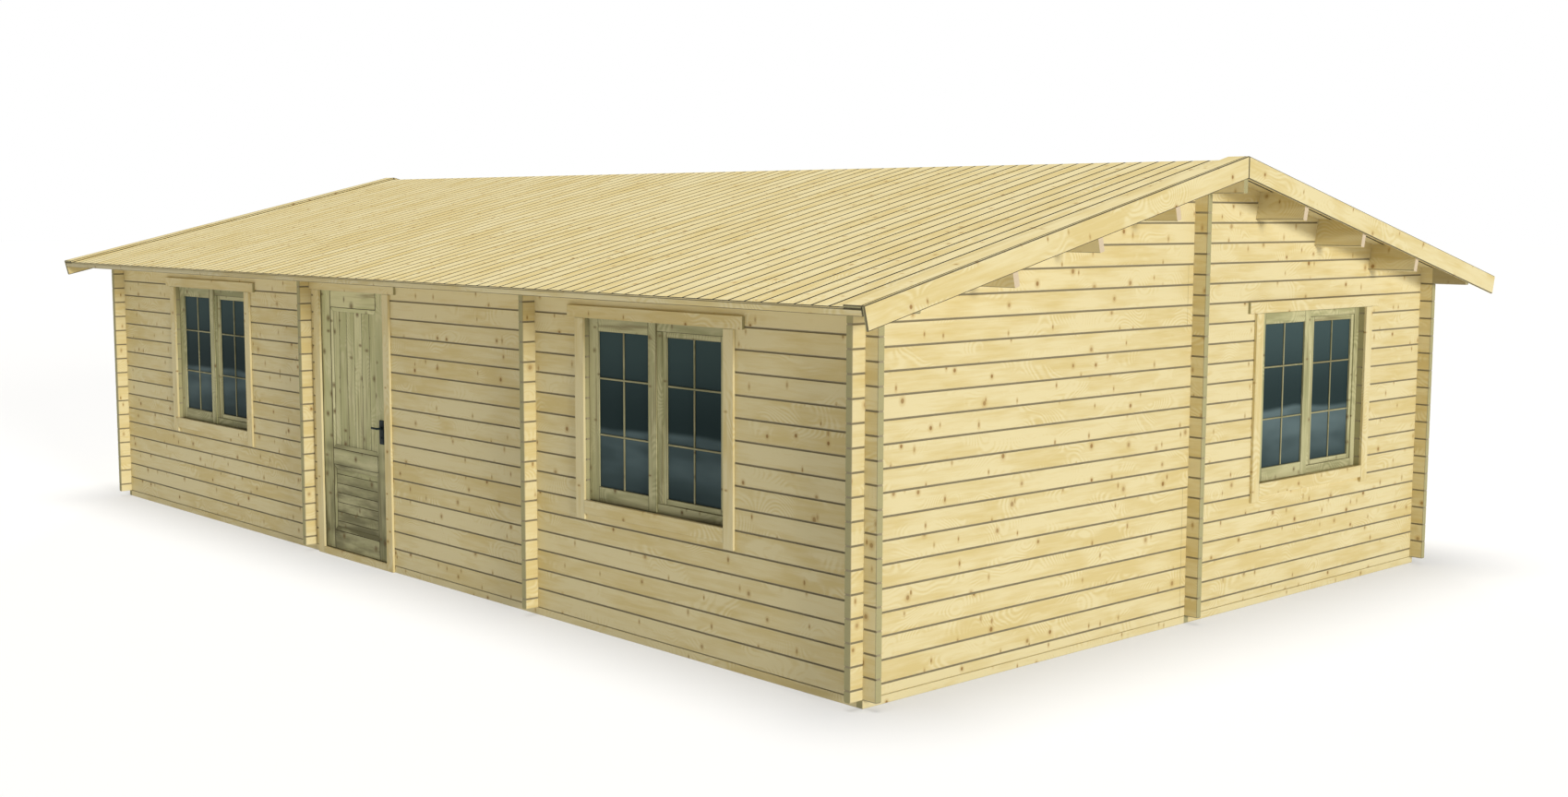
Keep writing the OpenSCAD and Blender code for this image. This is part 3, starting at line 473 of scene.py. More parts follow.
def leaf_damp(finish, grain):
    """How damp the wood of the door leaf is, which grows towards its foot, at its rails and in patches."""
    height = finish.parts(finish.coordinates("Object"))[2]
    low = finish.rise(height, *LEAF_DAMP_FADES, 0.95, 0.0)
    for level in LEAF_RAIL_EDGES:
        away = finish.math("ABSOLUTE", finish.math("SUBTRACT", height, level))
        low = finish.total(low, finish.rise(away, 0.0, RAIL_DAMP_WIDTH, 0.40, 0.0))
    spots = finish.rise(finish.noise(grain["place"], DAMP_SPOTS, *FINE), 0.30, 0.70, 0.40, 1.0)
    return finish.total(finish.times(low, spots), finish.times(finish.rise(grain["tone"], 0.6, 1.0), 0.12))


def make_finishes(settings):
    """Makes every material of the house."""
    colours, sizes = settings.colours, settings.sizes
    pine = (colours.pine_light, colours.pine_dark, colours.pine_halo, colours.pine_knot)
    treated = (colours.treated_light, colours.treated_dark, colours.treated_stain, colours.treated_knot)
    leaf = (scaled(treated[0], LEAF_PALE_TONE), scaled(treated[1], LEAF_DEEP_TONE), *treated[2:])
    # Painted shade: the pine colours darkened for the fascias
    shaded_fascia = [scaled(colour, FASCIA_SHADE_TONE) for colour in pine]
    bar = [scaled(colour, BAR_TONE) for colour in treated]
    lengthwise_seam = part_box("back_wall")[0].z
    crosswise_seam = lengthwise_seam - sizes.log_pitch / 2
    logs = (
        ("pine_logs_lengthwise", 0, lengthwise_seam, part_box("back_wall")[1].x),
        ("pine_logs_crosswise", 1, crosswise_seam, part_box("left_gable_wall")[1].y),
    )
    for name, axis, first_seam, farthest in logs:
        finish = Finish(name)
        grain = log_grain(finish, axis, first_seam, farthest, sizes)
        wood(finish, grain, pine, colours.joint, colours.pine_end, colours)
    for name, ends in (("pine_ridge", colours.pine_end), ("pine_purlins", colours.purlin_end)):
        finish = Finish(name)
        wood(finish, beam_grain(finish), pine, colours.joint, ends, colours)
    joinery_looks = {"vary": 0.4, "stain": 0.7, "damp": 0.22, "close": 1.2, "bold": 1.1}
    leaf_looks = {"vary": 0.35, "stain": 0.78, "damp": leaf_damp, "close": 1.2, "bold": 1.45}
    boards = (
        ("pine_boards", pine, colours.joint, {}),
        ("pine_roof_boards", pine, colours.roof_joint_shade, {}),
        ("pine_fascias_shaded", shaded_fascia, colours.roof_joint_shade, {}),
        ("treated_joinery", treated, colours.treated_joint_shade, joinery_looks),
        ("treated_bars", bar, colours.treated_joint_shade, {"stain": 0.6}),
        ("treated_door_leaf", leaf, colours.treated_joint_shade, leaf_looks),
    )
    for name, tones, joint, looks in boards:
        finish = Finish(name)
        wood(finish, board_grain(finish), tones, joint, colours.pine_end, colours, **looks)
    make_glass(colours)
    make_coated_metal(colours)
    make_hinge_steel(colours)


def make_glass(colours):
    """Window glass with a painted reflection: dark in the middle, paler to its head and over a lit floor below
    the room's horizon, with faint waves.
    """
    finish = Finish("glass_painted_reflection")
    point = finish.coordinates("Object")
    wave = finish.noise(point, (1.2, 1.2, 2.0))
    height = finish.math("MULTIPLY_ADD", wave, GLASS_WAVE, finish.parts(point)[2])
    # Painted reflection: dark in the middle, paler towards the head and over the lit floor
    colour = finish.blend(finish.rise(height, *REFLECTION_HEAD), colours.glass_dark_reflection, colours.glass_head_reflection)
    streak = finish.rise(finish.noise(point, (1.3, 1.3, 4.6)), 0.34, 0.66, 0.45, 1.0)
    low = finish.times(
        finish.rise(height, *REFLECTED_HORIZON, 1.0, 0.0), finish.rise(height, *REFLECTED_FLOOR, 0.35, 0.95), streak)
    finish.surface("Base Color", finish.blend(low, colour, colours.glass_floor_reflection))
    dust = finish.noise(point, (9.0, 9.0, 9.0), 4.0, 0.6)
    finish.surface("Roughness", finish.rise(dust, 0.35, 0.8, 0.04, 0.13))
    finish.surface("Specular IOR Level", GLASS_SPECULAR)
    finish.surface("Alpha", GLASS_ALPHA)
    finish.bump(wave, 0.05, 0.002)


def make_coated_metal(colours):
    """Black coated metal with a fine texture and rubbed patches."""
    finish = Finish("coated_door_metal")
    point = finish.coordinates("Object")
    grit = finish.noise(point, (900.0, 900.0, 900.0))
    rubbed = finish.rise(finish.noise(point, (38.0, 38.0, 38.0), 3.0), 0.52, 0.75)
    bare = scaled(colours.black_metal, RUBBED_TONE)
    finish.surface("Base Color", finish.blend(rubbed, colours.black_metal, bare))
    finish.surface("Roughness", finish.rise(grit, 0.3, 0.7, 0.32, 0.48))
    finish.surface("Specular IOR Level", METAL_SPECULAR)
    finish.bump(grit, 0.10, 0.0004)


def make_hinge_steel(colours):
    """Plated steel with fine turning marks and a little tarnish."""
    finish = Finish("plated_hinge_steel")
    point = finish.coordinates("Object")
    marks = finish.noise(point, (30.0, 30.0, 1400.0))
    tarnish = finish.rise(finish.noise(point, (60.0, 60.0, 60.0), 3.0), 0.45, 0.75)
    finish.surface("Base Color", finish.blend(tarnish, colours.steel, scaled(colours.steel, TARNISH_TONE)))
    finish.surface("Metallic", 1.0)
    finish.surface("Roughness", finish.rise(marks, 0.3, 0.7, 0.28, 0.44))
    finish.bump(marks, 0.08, 0.0003)


# Shaping of boards

# Vertices this close are one, and faces that turn less than this angle are one flat face
MERGE = 1e-5
FLAT_ANGLE = 0.01

# Faces that turn more than this angle meet at a square edge, and an edge this straight runs along a direction
SQUARE_ANGLE = 0.8
ALONG_LEAST = 0.98

# Cells in a metre that draw a board's tone, and how far the draw moves its grain along, across and through
DRAW_CELLS = 97.3
GRAIN_JUMP = (31.0, 0.11, 0.11)

# How dark the painted shade on the eased edges of plain boards is
SOFT_SEAM_SHADE = 0.35


def copy_of(node):
    """A merged copy of a CAD node's mesh, with flat faces whole again."""
    bm = bmesh.new()
    bm.from_mesh(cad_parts[node].data)
    bmesh.ops.remove_doubles(bm, verts=bm.verts, dist=MERGE)
    bmesh.ops.dissolve_limit(bm, angle_limit=FLAT_ANGLE, verts=bm.verts, edges=bm.edges)
    return bm


def solids_of(bm):
    """The vertices of each separate solid of a mesh, in the mesh's own order."""
    groups = []
    bm.verts.index_update()
    seen = set()
    for start in bm.verts:
        if start.index in seen:
            continue
        seen.add(start.index)
        group = [start]
        for vert in group:
            for edge in vert.link_edges:
                other = edge.other_vert(vert)
                if other.index not in seen:
                    seen.add(other.index)
                    group.append(other)
        groups.append(group)
    return groups


def in_order(items):
    """Each item once, in the order in which it first comes."""
    return list(dict.fromkeys(items))


def span(verts, direction):
    """Lowest and highest place of some vertices along a direction."""
    places = [vert.co.dot(direction) for vert in verts]
    return min(places), max(places)


def reach(verts, direction):
    """How far some vertices reach along a direction."""
    low, high = span(verts, direction)
    return high - low


def longest_way(verts):
    """The axis along which a solid is longest."""
    return max(AXES, key=lambda axis: reach(verts, axis))


def slope_way(verts):
    """The direction of the roof's slope on the side where a solid lies."""
    pitch = bpy.context.scene.log_house.sizes.roof_pitch
    side = 1 if sum(span(verts, Y_AXIS)) < 0 else -1
    return Vector((0, math.cos(pitch), side * math.sin(pitch)))


def mark_wood(bm, way=longest_way, seam=SOFT_SEAM_SHADE):
    """Notes on the mesh how the grain of each board runs, its tone, its sawn ends and how much painted shade
    its eased edges get.
    """
    place_mark = bm.verts.layers.float_vector.new("wood_place")
    tone_mark = bm.faces.layers.float.new("wood_tone")
    end_mark = bm.faces.layers.float.new("wood_end")
    seam_mark = bm.faces.layers.float.new("wood_seam")
    bm.normal_update()
    for verts in solids_of(bm):
        along = way(verts)
        first = X_AXIS if abs(along.x) < 0.5 else Z_AXIS
        second = along.cross(first).normalized()
        across, depth = sorted((first, second), key=lambda axis: -reach(verts, axis))
        axes = (along, across, depth)
        centre = sum((axis * sum(span(verts, axis)) / 2 for axis in axes), Vector())
        draw = noise.cell_vector(centre * DRAW_CELLS)
        shift = Vector([part * jump for part, jump in zip(draw, GRAIN_JUMP)])
        for vert in verts:
            offset = vert.co - centre
            vert[place_mark] = Vector([offset.dot(axis) for axis in axes]) + shift
        for face in in_order(face for vert in verts for face in vert.link_faces):
            facing = [abs(face.normal.dot(axis)) for axis in axes]
            face[tone_mark] = draw.y
            face[end_mark] = 1.0 if facing[0] > END_FACING else 0.0
            # Chamfered and eased faces are marked for painted shade
            face[seam_mark] = seam if max(facing) < FLAT_FACING else 0.0


def square_edges(bm, direction=None):
    """Edges where two faces meet at about a right angle, along a direction if one is given."""
    bm.normal_update()
    found = []
    for edge in bm.edges:
        if len(edge.link_faces) != 2 or edge.calc_face_angle() < SQUARE_ANGLE:
            continue
        run = (edge.verts[1].co - edge.verts[0].co).normalized()
        if direction is None or abs(run.dot(direction)) > ALONG_LEAST:
            found.append(edge)
    return found


def ease(bm, edges, width, segments=1):
    """Chamfers or rounds edges."""
    bmesh.ops.bevel(
        bm, geom=edges, offset=width, offset_type="OFFSET", affect="EDGES", segments=segments,
        profile=0.5, material=-1, clamp_overlap=True)


def rip(bm, direction, cuts, chosen=None):
    """Saws solids into boards at planes square to a direction."""
    for cut in cuts:
        faces = [face for face in bm.faces if chosen is None or chosen(face)]
        edges = in_order(edge for face in faces for edge in face.edges)
        verts = in_order(vert for face in faces for vert in face.verts)
        found = bmesh.ops.bisect_plane(
            bm, geom=[*verts, *edges, *faces], plane_co=direction * cut, plane_no=direction)
        sawn = [item for item in found["geom_cut"] if isinstance(item, bmesh.types.BMEdge)]
        bmesh.ops.split_edges(bm, edges=sawn)
        opened = [edge for edge in bm.edges if edge.is_boundary]
        bmesh.ops.holes_fill(bm, edges=opened, sides=0)


def even_cuts(low, high, count):
    """Places that divide a length into equal parts."""
    return [low + (high - low) * step / count for step in range(1, count)]


def add_board(bm, low, high):
    """A plain board between two corners, for shaping further."""
    low, high = Vector(low), Vector(high)
    size = high - low
    place = Matrix.Translation((low + high) / 2) @ Matrix.Diagonal((*size, 1.0))
    return bmesh.ops.create_cube(bm, size=1.0, matrix=place)["verts"]


def finish_piece(name, bm, material, slot, body, *nodes):
    """Turns a mesh under way into a piece of the house that rides on its body."""
    mesh = bpy.data.meshes.new(name)
    bm.normal_update()
    bm.to_mesh(mesh)
    bm.free()
    stale = mesh.attributes.get("custom_normal")
    if stale:
        mesh.attributes.remove(stale)
    mesh.materials.clear()
    mesh.materials.append(material)
    piece = bpy.data.objects.new(name, mesh)
    bpy.context.scene.collection.objects.link(piece)
    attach(piece, body)
    if nodes:
        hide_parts(*nodes)
    return piece


def finish_of(name):
    """A material that the finishes operator has made."""
    return bpy.data.materials[name]


def dress(node, material, slot, body="house", way=longest_way, edge=None, seam=SOFT_SEAM_SHADE):
    """A node's boards with their own grain, and edges that are chamfered if a width is given, or rounded."""
    bm = copy_of(node)
    if edge:
        ease(bm, square_edges(bm), edge)
    else:
        ease(bm, square_edges(bm), bpy.context.scene.log_house.sizes.edge_round, 2)
    mark_wood(bm, way, seam)
    return finish_piece(node + "_planed", bm, material, slot, body, node)


# Operators

class LOGHOUSE_OT_mix_finishes(bpy.types.Operator):
    """Make every material and give the logs, purlins, glass and hinges theirs"""

    bl_idname = "loghouse.mix_finishes"
    bl_label = "Mix Finishes"

    def execute(self, context):
        make_finishes(context.scene.log_house)
        dressed = {
            "pine_logs_lengthwise": LENGTHWISE_LOGS,
            "pine_logs_crosswise": CROSSWISE_LOGS,
            "pine_ridge": ("ridge_purlin",),
            "pine_purlins": PURLINS,
            "glass_painted_reflection": [window + "_glass" for window in WINDOWS],
            "plated_hinge_steel": ("door_hinge_pins", "door_hinge_barrels"),
        }
        for finish, nodes in dressed.items():
            for node in nodes:
                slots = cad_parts[node].data.materials
                slots.clear()
                slots.append(finish_of(finish))
        return {"FINISHED"}


class LOGHOUSE_OT_lay_roof_boards(bpy.types.Operator):
    """Saw both roof decks into boards with V joints"""

    bl_idname = "loghouse.lay_roof_boards"
    bl_label = "Lay Roof Boards"

    def execute(self, context):
        sizes = context.scene.log_house.sizes
        pine = finish_of("pine_roof_boards")
        for side in ("front", "back"):
            node = side + "_roof_deck"
            low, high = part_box(node)
            bm = copy_of(node)
            rip(bm, X_AXIS, even_cuts(low.x, high.x, sizes.roof_boards))
            ease(bm, square_edges(bm), sizes.roof_chamfer)
            mark_wood(bm, slope_way, seam=1.0)
            finish_piece(side + "_roof_boards", bm, pine, "board_pine", "house", node)
        return {"FINISHED"}


class LOGHOUSE_OT_lay_floor_boards(bpy.types.Operator):
    """Saw the floor of each room into boards with eased edges"""

    bl_idname = "loghouse.lay_floor_boards"
    bl_label = "Lay Floor Boards"

    def execute(self, context):
        sizes = context.scene.log_house.sizes
        low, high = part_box("floor_boards")
        bm = copy_of("floor_boards")
        count = round((high.y - low.y) / sizes.floor_board)
        rip(bm, Y_AXIS, even_cuts(low.y, high.y, count))
        ease(bm, square_edges(bm, X_AXIS), sizes.floor_chamfer)
        mark_wood(bm, lambda verts: X_AXIS, seam=0.8)
        finish_piece("laid_floor", bm, finish_of("pine_boards"), "board_pine", "house", "floor_boards")
        return {"FINISHED"}


class LOGHOUSE_OT_plane_boards(bpy.types.Operator):
    """Ease the edges of the bearers, battens, roof trim and the trim of door and windows"""

    bl_idname = "loghouse.plane_boards"
    bl_label = "Plane Boards"

    def execute(self, context):
        pine = finish_of("pine_boards")
        for node in ("outer_bearers", "inner_bearers", "floor_battens"):
            dress(node, pine, "bearer_wood")
        trims = [window + "_trim" for window in WINDOWS]
        for node in (*trims, "door_outer_trim", "door_inner_trim", "door_threshold"):
            dress(node, pine, "board_pine")
        edge = context.scene.log_house.sizes.roof_edge
        dress("eave_fascias", finish_of("pine_fascias_shaded"), "board_pine", edge=edge, seam=0.7)
        for node in ("left_barge_boards", "right_barge_boards", "verge_caps"):
            dress(node, finish_of("pine_roof_boards"), "board_pine", way=slope_way, edge=edge, seam=0.9)
        return {"FINISHED"}


class LOGHOUSE_OT_make_windows(bpy.types.Operator):
    """Ease the window frames and sashes, and add the glazing bars"""

    bl_idname = "loghouse.make_windows"
    bl_label = "Make Windows"

    def execute(self, context):
        sizes = context.scene.log_house.sizes
        joinery = finish_of("treated_joinery")
        for window in WINDOWS:
            dress(window + "_frame", joinery, "joinery_wood", seam=0.6)
            dress(window + "_sashes", joinery, "joinery_wood", seam=0.6)
            bm = bmesh.new()
            glass = copy_of(window + "_glass")
            for pane in solids_of(glass):
                self.add_bars(bm, [span(pane, axis) for axis in AXES], sizes)
            glass.free()
            ease(bm, square_edges(bm), sizes.bar_round, 2)
            mark_wood(bm)
            finish_piece(window + "_bars", bm, finish_of("treated_bars"), "joinery_wood", "house")
        return {"FINISHED"}

    def add_bars(self, bm, spans, sizes):
        """Bars that divide a pane in two by three, on both faces of the glass."""
        thin = 1 if spans[1][1] - spans[1][0] < spans[0][1] - spans[0][0] else 0
        left, right = (spans[1 - thin][0] + sizes.glass_lap, spans[1 - thin][1] - sizes.glass_lap)
        foot, head = (spans[2][0] + sizes.glass_lap, spans[2][1] - sizes.glass_lap)
        half = sizes.bar_width / 2
        middle = (left + right) / 2
        levels = [foot + (head - foot) * part for part in sizes.bar_levels]
        stops = [foot, *(stop for level in levels for stop in (level - half, level + half)), head]
        for face, outward in ((spans[thin][0], -1), (spans[thin][1], 1)):
            depth = sorted((face + outward * HAIR, face + outward * sizes.bar_depth))
            for level in levels:
                self.add(bm, thin, (left, right), depth, (level - half, level + half))
            for low, high in zip(stops[::2], stops[1::2]):
                self.add(bm, thin, (middle - half, middle + half), depth, (low, high))

    def add(self, bm, thin, run, depth, rise):
        """One bar, given along the wall, through the wall and upright."""
        spans = (run, depth, rise) if thin == 1 else (depth, run, rise)
        add_board(bm, [low for low, high in spans], [high for low, high in spans])


class LOGHOUSE_OT_make_door(bpy.types.Operator):
    """Board the door panels and ease the door's frame, stiles, rails and mouldings"""

    bl_idname = "loghouse.make_door"
    bl_label = "Make Door"

    def execute(self, context):
        sizes = context.scene.log_house.sizes
        leaf = finish_of("treated_door_leaf")
        dress("door_frame", finish_of("treated_joinery"), "joinery_wood")
        dress("door_stiles_and_rails", leaf, "joinery_wood", "door", edge=sizes.leaf_edge, seam=0.95)
        bm = self.part_of_panels(lambda depth: depth > sizes.panel_least)
        lower, upper = sorted(
            ([span(panel, axis) for axis in AXES] for panel in solids_of(bm)),
            key=lambda panel: panel[2][0])
        between = (lower[2][1] + upper[2][0]) / 2
        upright_cuts = even_cuts(*upper[0], sizes.upper_panel_boards)
        rip(bm, X_AXIS, upright_cuts, lambda face: face.calc_center_median().z > between)
        level_cuts = even_cuts(*lower[2], sizes.lower_panel_boards)
        rip(bm, Z_AXIS, level_cuts, lambda face: face.calc_center_median().z < between)
        ease(bm, square_edges(bm), sizes.panel_chamfer)
        mouldings = self.part_of_panels(lambda depth: depth < sizes.panel_least)
        ease(mouldings, square_edges(mouldings), sizes.moulding_edge)
        added = bpy.data.meshes.new("door_mouldings")
        mouldings.to_mesh(added)
        mouldings.free()
        bm.from_mesh(added)
        bpy.data.meshes.remove(added)
        mark_wood(bm, seam=0.9)
        finish_piece("door_panel_boards", bm, leaf, "joinery_wood", "door", "door_panels")
        return {"FINISHED"}

    def part_of_panels(self, wanted):
        """Those solids of the panels' node whose depth is wanted."""
        bm = copy_of("door_panels")
        spare = [vert for verts in solids_of(bm) if not wanted(reach(verts, Y_AXIS)) for vert in verts]
        bmesh.ops.delete(bm, geom=spare, context="VERTS")
        return bm


class LOGHOUSE_OT_fit_handles(bpy.types.Operator):
    """Shape the lever handles with their plates and key cylinders"""

    bl_idname = "loghouse.fit_handles"
    bl_label = "Fit Handles"

    plate_half = 0.033
    plate_top = 0.063
    plate_foot = -0.123
    plate_depth = 0.006
    plate_corner = 0.008
    plate_rim = 0.0018
    sunk = 0.0002
    cylinder_height = -0.072
    rose = ((0.0, 0.0), (0.0145, 0.0), (0.0145, 0.006), (0.0130, 0.0075), (0.0, 0.0078))
    cylinder = ((0.0, 0.0), (0.0110, 0.0), (0.0110, 0.002), (0.0098, 0.0034), (0.0, 0.0034))
    plug = ((0.0, 0.0), (0.0062, 0.0), (0.0062, 0.0016), (0.0052, 0.0026), (0.0, 0.0026))
    neck_radius = 0.0085
    neck_length = 0.020
    bend_radius = 0.016
    lever_steps = ((0.030, 1.0), (0.037, 1.04), (0.005, 0.80), (0.002, 0.45))
    corner_steps = 5
    rim_steps = 3
    turned_steps = 28
    neck_sides = 20
    bend_steps = 8
    pole_merge = 1e-6
    sharp_angle = math.radians(40)

    def execute(self, context):
        low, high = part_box("door_handles")
        leaf_low, leaf_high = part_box("door_stiles_and_rails")
        bm = bmesh.new()
        self.add_handle(bm)
        outside = list(bm.verts)
        inside = bmesh.ops.duplicate(bm, geom=[*bm.verts, *bm.edges, *bm.faces])["geom"]
        mirrored = [item for item in inside if isinstance(item, bmesh.types.BMVert)]
        bmesh.ops.scale(bm, vec=(1, -1, 1), verts=mirrored)
        spindle = Vector((high.x - self.plate_half, 0, high.z - self.plate_top))
        bmesh.ops.translate(bm, vec=spindle + Y_AXIS * (leaf_low.y - HAIR), verts=outside)
        bmesh.ops.translate(bm, vec=spindle + Y_AXIS * (leaf_high.y + HAIR), verts=mirrored)
        bmesh.ops.recalc_face_normals(bm, faces=bm.faces)
        metal = finish_of("coated_door_metal")
        piece = finish_piece("door_lever_handles", bm, metal, "black_metal", "door", "door_handles")
        for face in piece.data.polygons:
            face.use_smooth = True
        piece.data.set_sharp_from_angle(angle=self.sharp_angle)
        return {"FINISHED"}

    def add_handle(self, bm):
        """One handle on the face at y = 0, standing out towards -Y, with the lever towards -X."""
        low = (-self.plate_half, -self.plate_depth, self.plate_foot)
        add_board(bm, low, (self.plate_half, 0.0, self.plate_top))
        ease(bm, square_edges(bm, Y_AXIS), self.plate_corner, self.corner_steps)
        front = self.sunk / 2 - self.plate_depth
        rim = [edge for edge in bm.edges if all(vert.co.y < front for vert in edge.verts)]
        ease(bm, rim, self.plate_rim, self.rim_steps)
        on_plate = self.sunk - self.plate_depth
        on_cylinder = on_plate + self.sunk - self.cylinder[-1][1]
        self.add_round(bm, (0, on_plate, 0), self.rose)
        self.add_round(bm, (0, on_plate, self.cylinder_height), self.cylinder)
        self.add_round(bm, (0, on_cylinder, self.cylinder_height), self.plug)
        self.add_lever(bm)

    def add_round(self, bm, foot, outline):
        """A turned part, given by radii and heights, standing out towards -Y from its foot."""
        foot = Vector(foot)
        verts = [bm.verts.new(foot + Vector((radius, -out, 0))) for radius, out in outline]
        edges = [bm.edges.new(pair) for pair in zip(verts, verts[1:])]
        bmesh.ops.spin(
            bm, geom=[*verts, *edges], cent=foot, axis=Y_AXIS, angle=2 * math.pi, steps=self.turned_steps,
            use_merge=True)
        bmesh.ops.remove_doubles(bm, verts=bm.verts, dist=self.pole_merge)

    def add_lever(self, bm):
        """A neck that bends into the lever and ends in a dome."""
        start = Matrix.Translation((0, -self.plate_depth, 0)) @ Matrix.Rotation(math.pi / 2, 4, "X")
        circle = bmesh.ops.create_circle(
            bm, segments=self.neck_sides, radius=self.neck_radius, cap_ends=True, matrix=start)["verts"]
        ring = in_order(edge for vert in circle for edge in vert.link_edges)
        ring = self.pull(bm, ring, (0, -self.neck_length, 0))
        centre = (-self.bend_radius, -self.plate_depth - self.neck_length, 0)
        verts = in_order(vert for edge in ring for vert in edge.verts)
        bend = bmesh.ops.spin(
            bm, geom=[*verts, *ring], cent=centre, axis=Z_AXIS, angle=-math.pi / 2, steps=self.bend_steps,
            use_merge=False)["geom_last"]
        ring = [item for item in bend if isinstance(item, bmesh.types.BMEdge)]
        for step, swell in self.lever_steps:
            ring = self.pull(bm, ring, (-step, 0, 0), swell)
        bmesh.ops.edgeloop_fill(bm, edges=ring)

    def pull(self, bm, ring, move, swell=1.0):
        """Extends a tube by one step and returns its new end."""
        pulled = bmesh.ops.extrude_edge_only(bm, edges=ring)["geom"]
        verts = [item for item in pulled if isinstance(item, bmesh.types.BMVert)]
        bmesh.ops.translate(bm, vec=move, verts=verts)
        middle = sum((vert.co for vert in verts), Vector()) / len(verts)
        bmesh.ops.scale(bm, vec=(swell,) * 3, space=Matrix.Translation(-middle), verts=verts)
        return [item for item in pulled if isinstance(item, bmesh.types.BMEdge)]


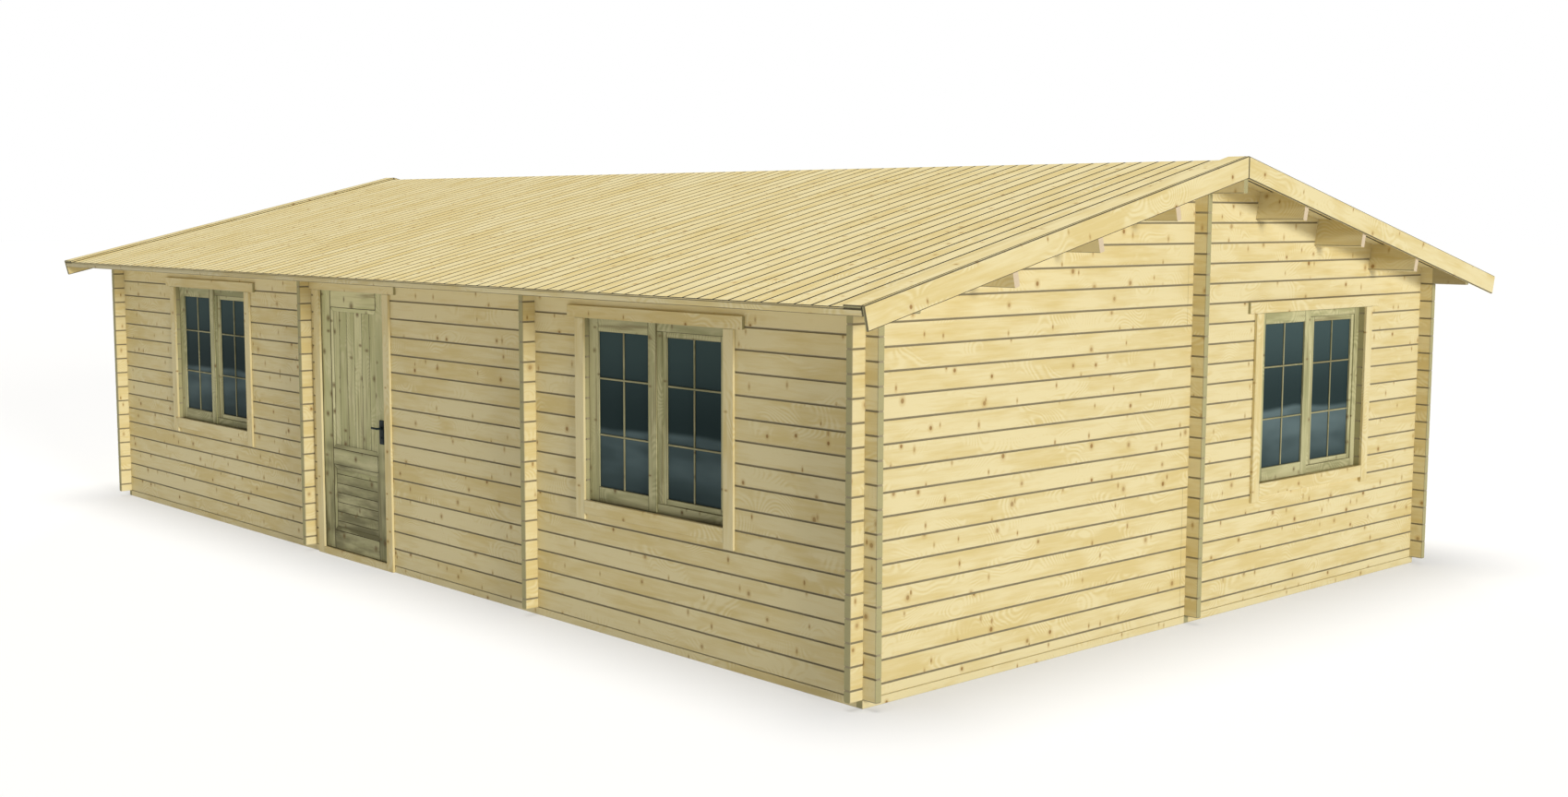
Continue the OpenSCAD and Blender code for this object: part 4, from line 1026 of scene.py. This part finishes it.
class LOGHOUSE_OT_set_stage(bpy.types.Operator):
    """Set the pale floor, the studio light and the camera"""

    bl_idname = "loghouse.set_stage"
    bl_label = "Set Stage"

    floor_half = 150.0
    floor_drop = 0.001
    floor_shade = 0.44
    floor_glow = 0.44
    sky_light = 0.13
    sky_seen = 1.0
    white = (1.0, 1.0, 1.0, 1.0)
    lamp_colour = (1.0, 0.985, 0.95)
    # Name, direction, strength and breadth in degrees
    lamps = (
        ("side_lamp", (1.0, -0.15, 0.16), 2.14, 12),
        ("top_lamp", (0.0, -0.06, 1.0), 3.30, 30),
        ("back_lamp", (-1.0, 0.8, 0.12), 1.5, 6),
    )
    camera_place = (11.6575, -9.8596, 2.7313)
    camera_forward = (-0.72997, 0.67541, -0.10469)
    camera_roll = 0.0032
    camera_lens = 40.235
    camera_sensor = 36.0
    camera_far = 400.0

    def execute(self, context):
        self.add_floor()
        self.add_sky(context.scene)
        for lamp in self.lamps:
            self.add_lamp(*lamp)
        self.add_camera(context.scene)
        context.scene.view_settings.view_transform = "Standard"
        return {"FINISHED"}

    def add_floor(self):
        """A wide pale floor that glows a little, so that shadows stay soft."""
        bm = bmesh.new()
        bmesh.ops.create_grid(bm, x_segments=8, y_segments=8, size=self.floor_half)
        bmesh.ops.translate(bm, vec=(0, 0, -self.floor_drop), verts=bm.verts)
        mesh = bpy.data.meshes.new("studio_floor")
        bm.to_mesh(mesh)
        bm.free()
        finish = Finish("studio_floor")
        finish.surface("Base Color", (*scaled(self.white[:3], self.floor_shade), 1.0))
        finish.surface("Roughness", 1.0)
        finish.surface("Specular IOR Level", 0.0)
        finish.surface("Emission Color", self.white)
        finish.surface("Emission Strength", self.floor_glow)
        mesh.materials.append(finish.material)
        floor = bpy.data.objects.new("studio_floor", mesh)
        bpy.context.scene.collection.objects.link(floor)

    def add_sky(self, scene):
        """An even sky, which the camera sees white."""
        world = bpy.data.worlds.new("studio")
        world.use_nodes = True
        tree = world.node_tree
        background = tree.nodes["Background"]
        background.inputs["Color"].default_value = self.white
        path = tree.nodes.new("ShaderNodeLightPath")
        strength = tree.nodes.new("ShaderNodeMapRange")
        strength.inputs["To Min"].default_value = self.sky_light
        strength.inputs["To Max"].default_value = self.sky_seen
        tree.links.new(path.outputs["Is Camera Ray"], strength.inputs["Value"])
        tree.links.new(strength.outputs["Result"], background.inputs["Strength"])
        scene.world = world

    def add_lamp(self, name, toward, strength, breadth):
        """A broad lamp far off, in the direction that is given."""
        lamp = bpy.data.lights.new(name, "SUN")
        lamp.energy = strength
        lamp.angle = math.radians(breadth)
        lamp.color = self.lamp_colour
        holder = bpy.data.objects.new(name, lamp)
        holder.rotation_mode = "QUATERNION"
        holder.rotation_quaternion = Vector(toward).to_track_quat("Z", "Y")
        bpy.context.scene.collection.objects.link(holder)

    def add_camera(self, scene):
        """A camera that looks at the near corner from the right, a little above the eaves."""
        lens = bpy.data.cameras.new("studio_camera")
        lens.sensor_fit = "HORIZONTAL"
        lens.sensor_width = self.camera_sensor
        lens.lens = self.camera_lens
        lens.clip_end = self.camera_far
        forward = Vector(self.camera_forward).normalized()
        level = forward.cross(Z_AXIS).normalized()
        upright = level.cross(forward)
        right = level * math.cos(self.camera_roll) + upright * math.sin(self.camera_roll)
        up = upright * math.cos(self.camera_roll) - level * math.sin(self.camera_roll)
        turn = Matrix((right, up, -forward)).transposed()
        holder = bpy.data.objects.new("studio_camera", lens)
        holder.matrix_world = Matrix.Translation(self.camera_place) @ turn.to_4x4()
        scene.collection.objects.link(holder)
        scene.camera = holder


class LOGHOUSE_PT_dressing(bpy.types.Panel):
    """Lists the steps and the values that they read"""

    bl_idname = "LOGHOUSE_PT_dressing"
    bl_label = "Log House"
    bl_space_type = "VIEW_3D"
    bl_region_type = "UI"
    bl_category = "Log House"

    def draw(self, context):
        settings = context.scene.log_house
        for operator in OPERATORS:
            self.layout.operator(operator.bl_idname)
        for group in (settings.sizes, settings.colours):
            column = self.layout.column()
            for name in group.__annotations__:
                column.prop(group, name)


OPERATORS = (
    LOGHOUSE_OT_mix_finishes,
    LOGHOUSE_OT_lay_roof_boards,
    LOGHOUSE_OT_lay_floor_boards,
    LOGHOUSE_OT_plane_boards,
    LOGHOUSE_OT_make_windows,
    LOGHOUSE_OT_make_door,
    LOGHOUSE_OT_fit_handles,
    LOGHOUSE_OT_set_stage,
)
CLASSES = (LogHouseSizes, LogHouseColours, LogHouseSettings, *OPERATORS, LOGHOUSE_PT_dressing)


def register():
    for cls in CLASSES:
        bpy.utils.register_class(cls)
    bpy.types.Scene.log_house = PointerProperty(type=LogHouseSettings)


def unregister():
    del bpy.types.Scene.log_house
    for cls in reversed(CLASSES):
        bpy.utils.unregister_class(cls)


def main():
    register()
    bpy.ops.loghouse.mix_finishes()
    bpy.ops.loghouse.lay_roof_boards()
    bpy.ops.loghouse.lay_floor_boards()
    bpy.ops.loghouse.plane_boards()
    bpy.ops.loghouse.make_windows()
    bpy.ops.loghouse.make_door()
    bpy.ops.loghouse.fit_handles()
    bpy.ops.loghouse.set_stage()


if __name__ == "__main__":
    main()
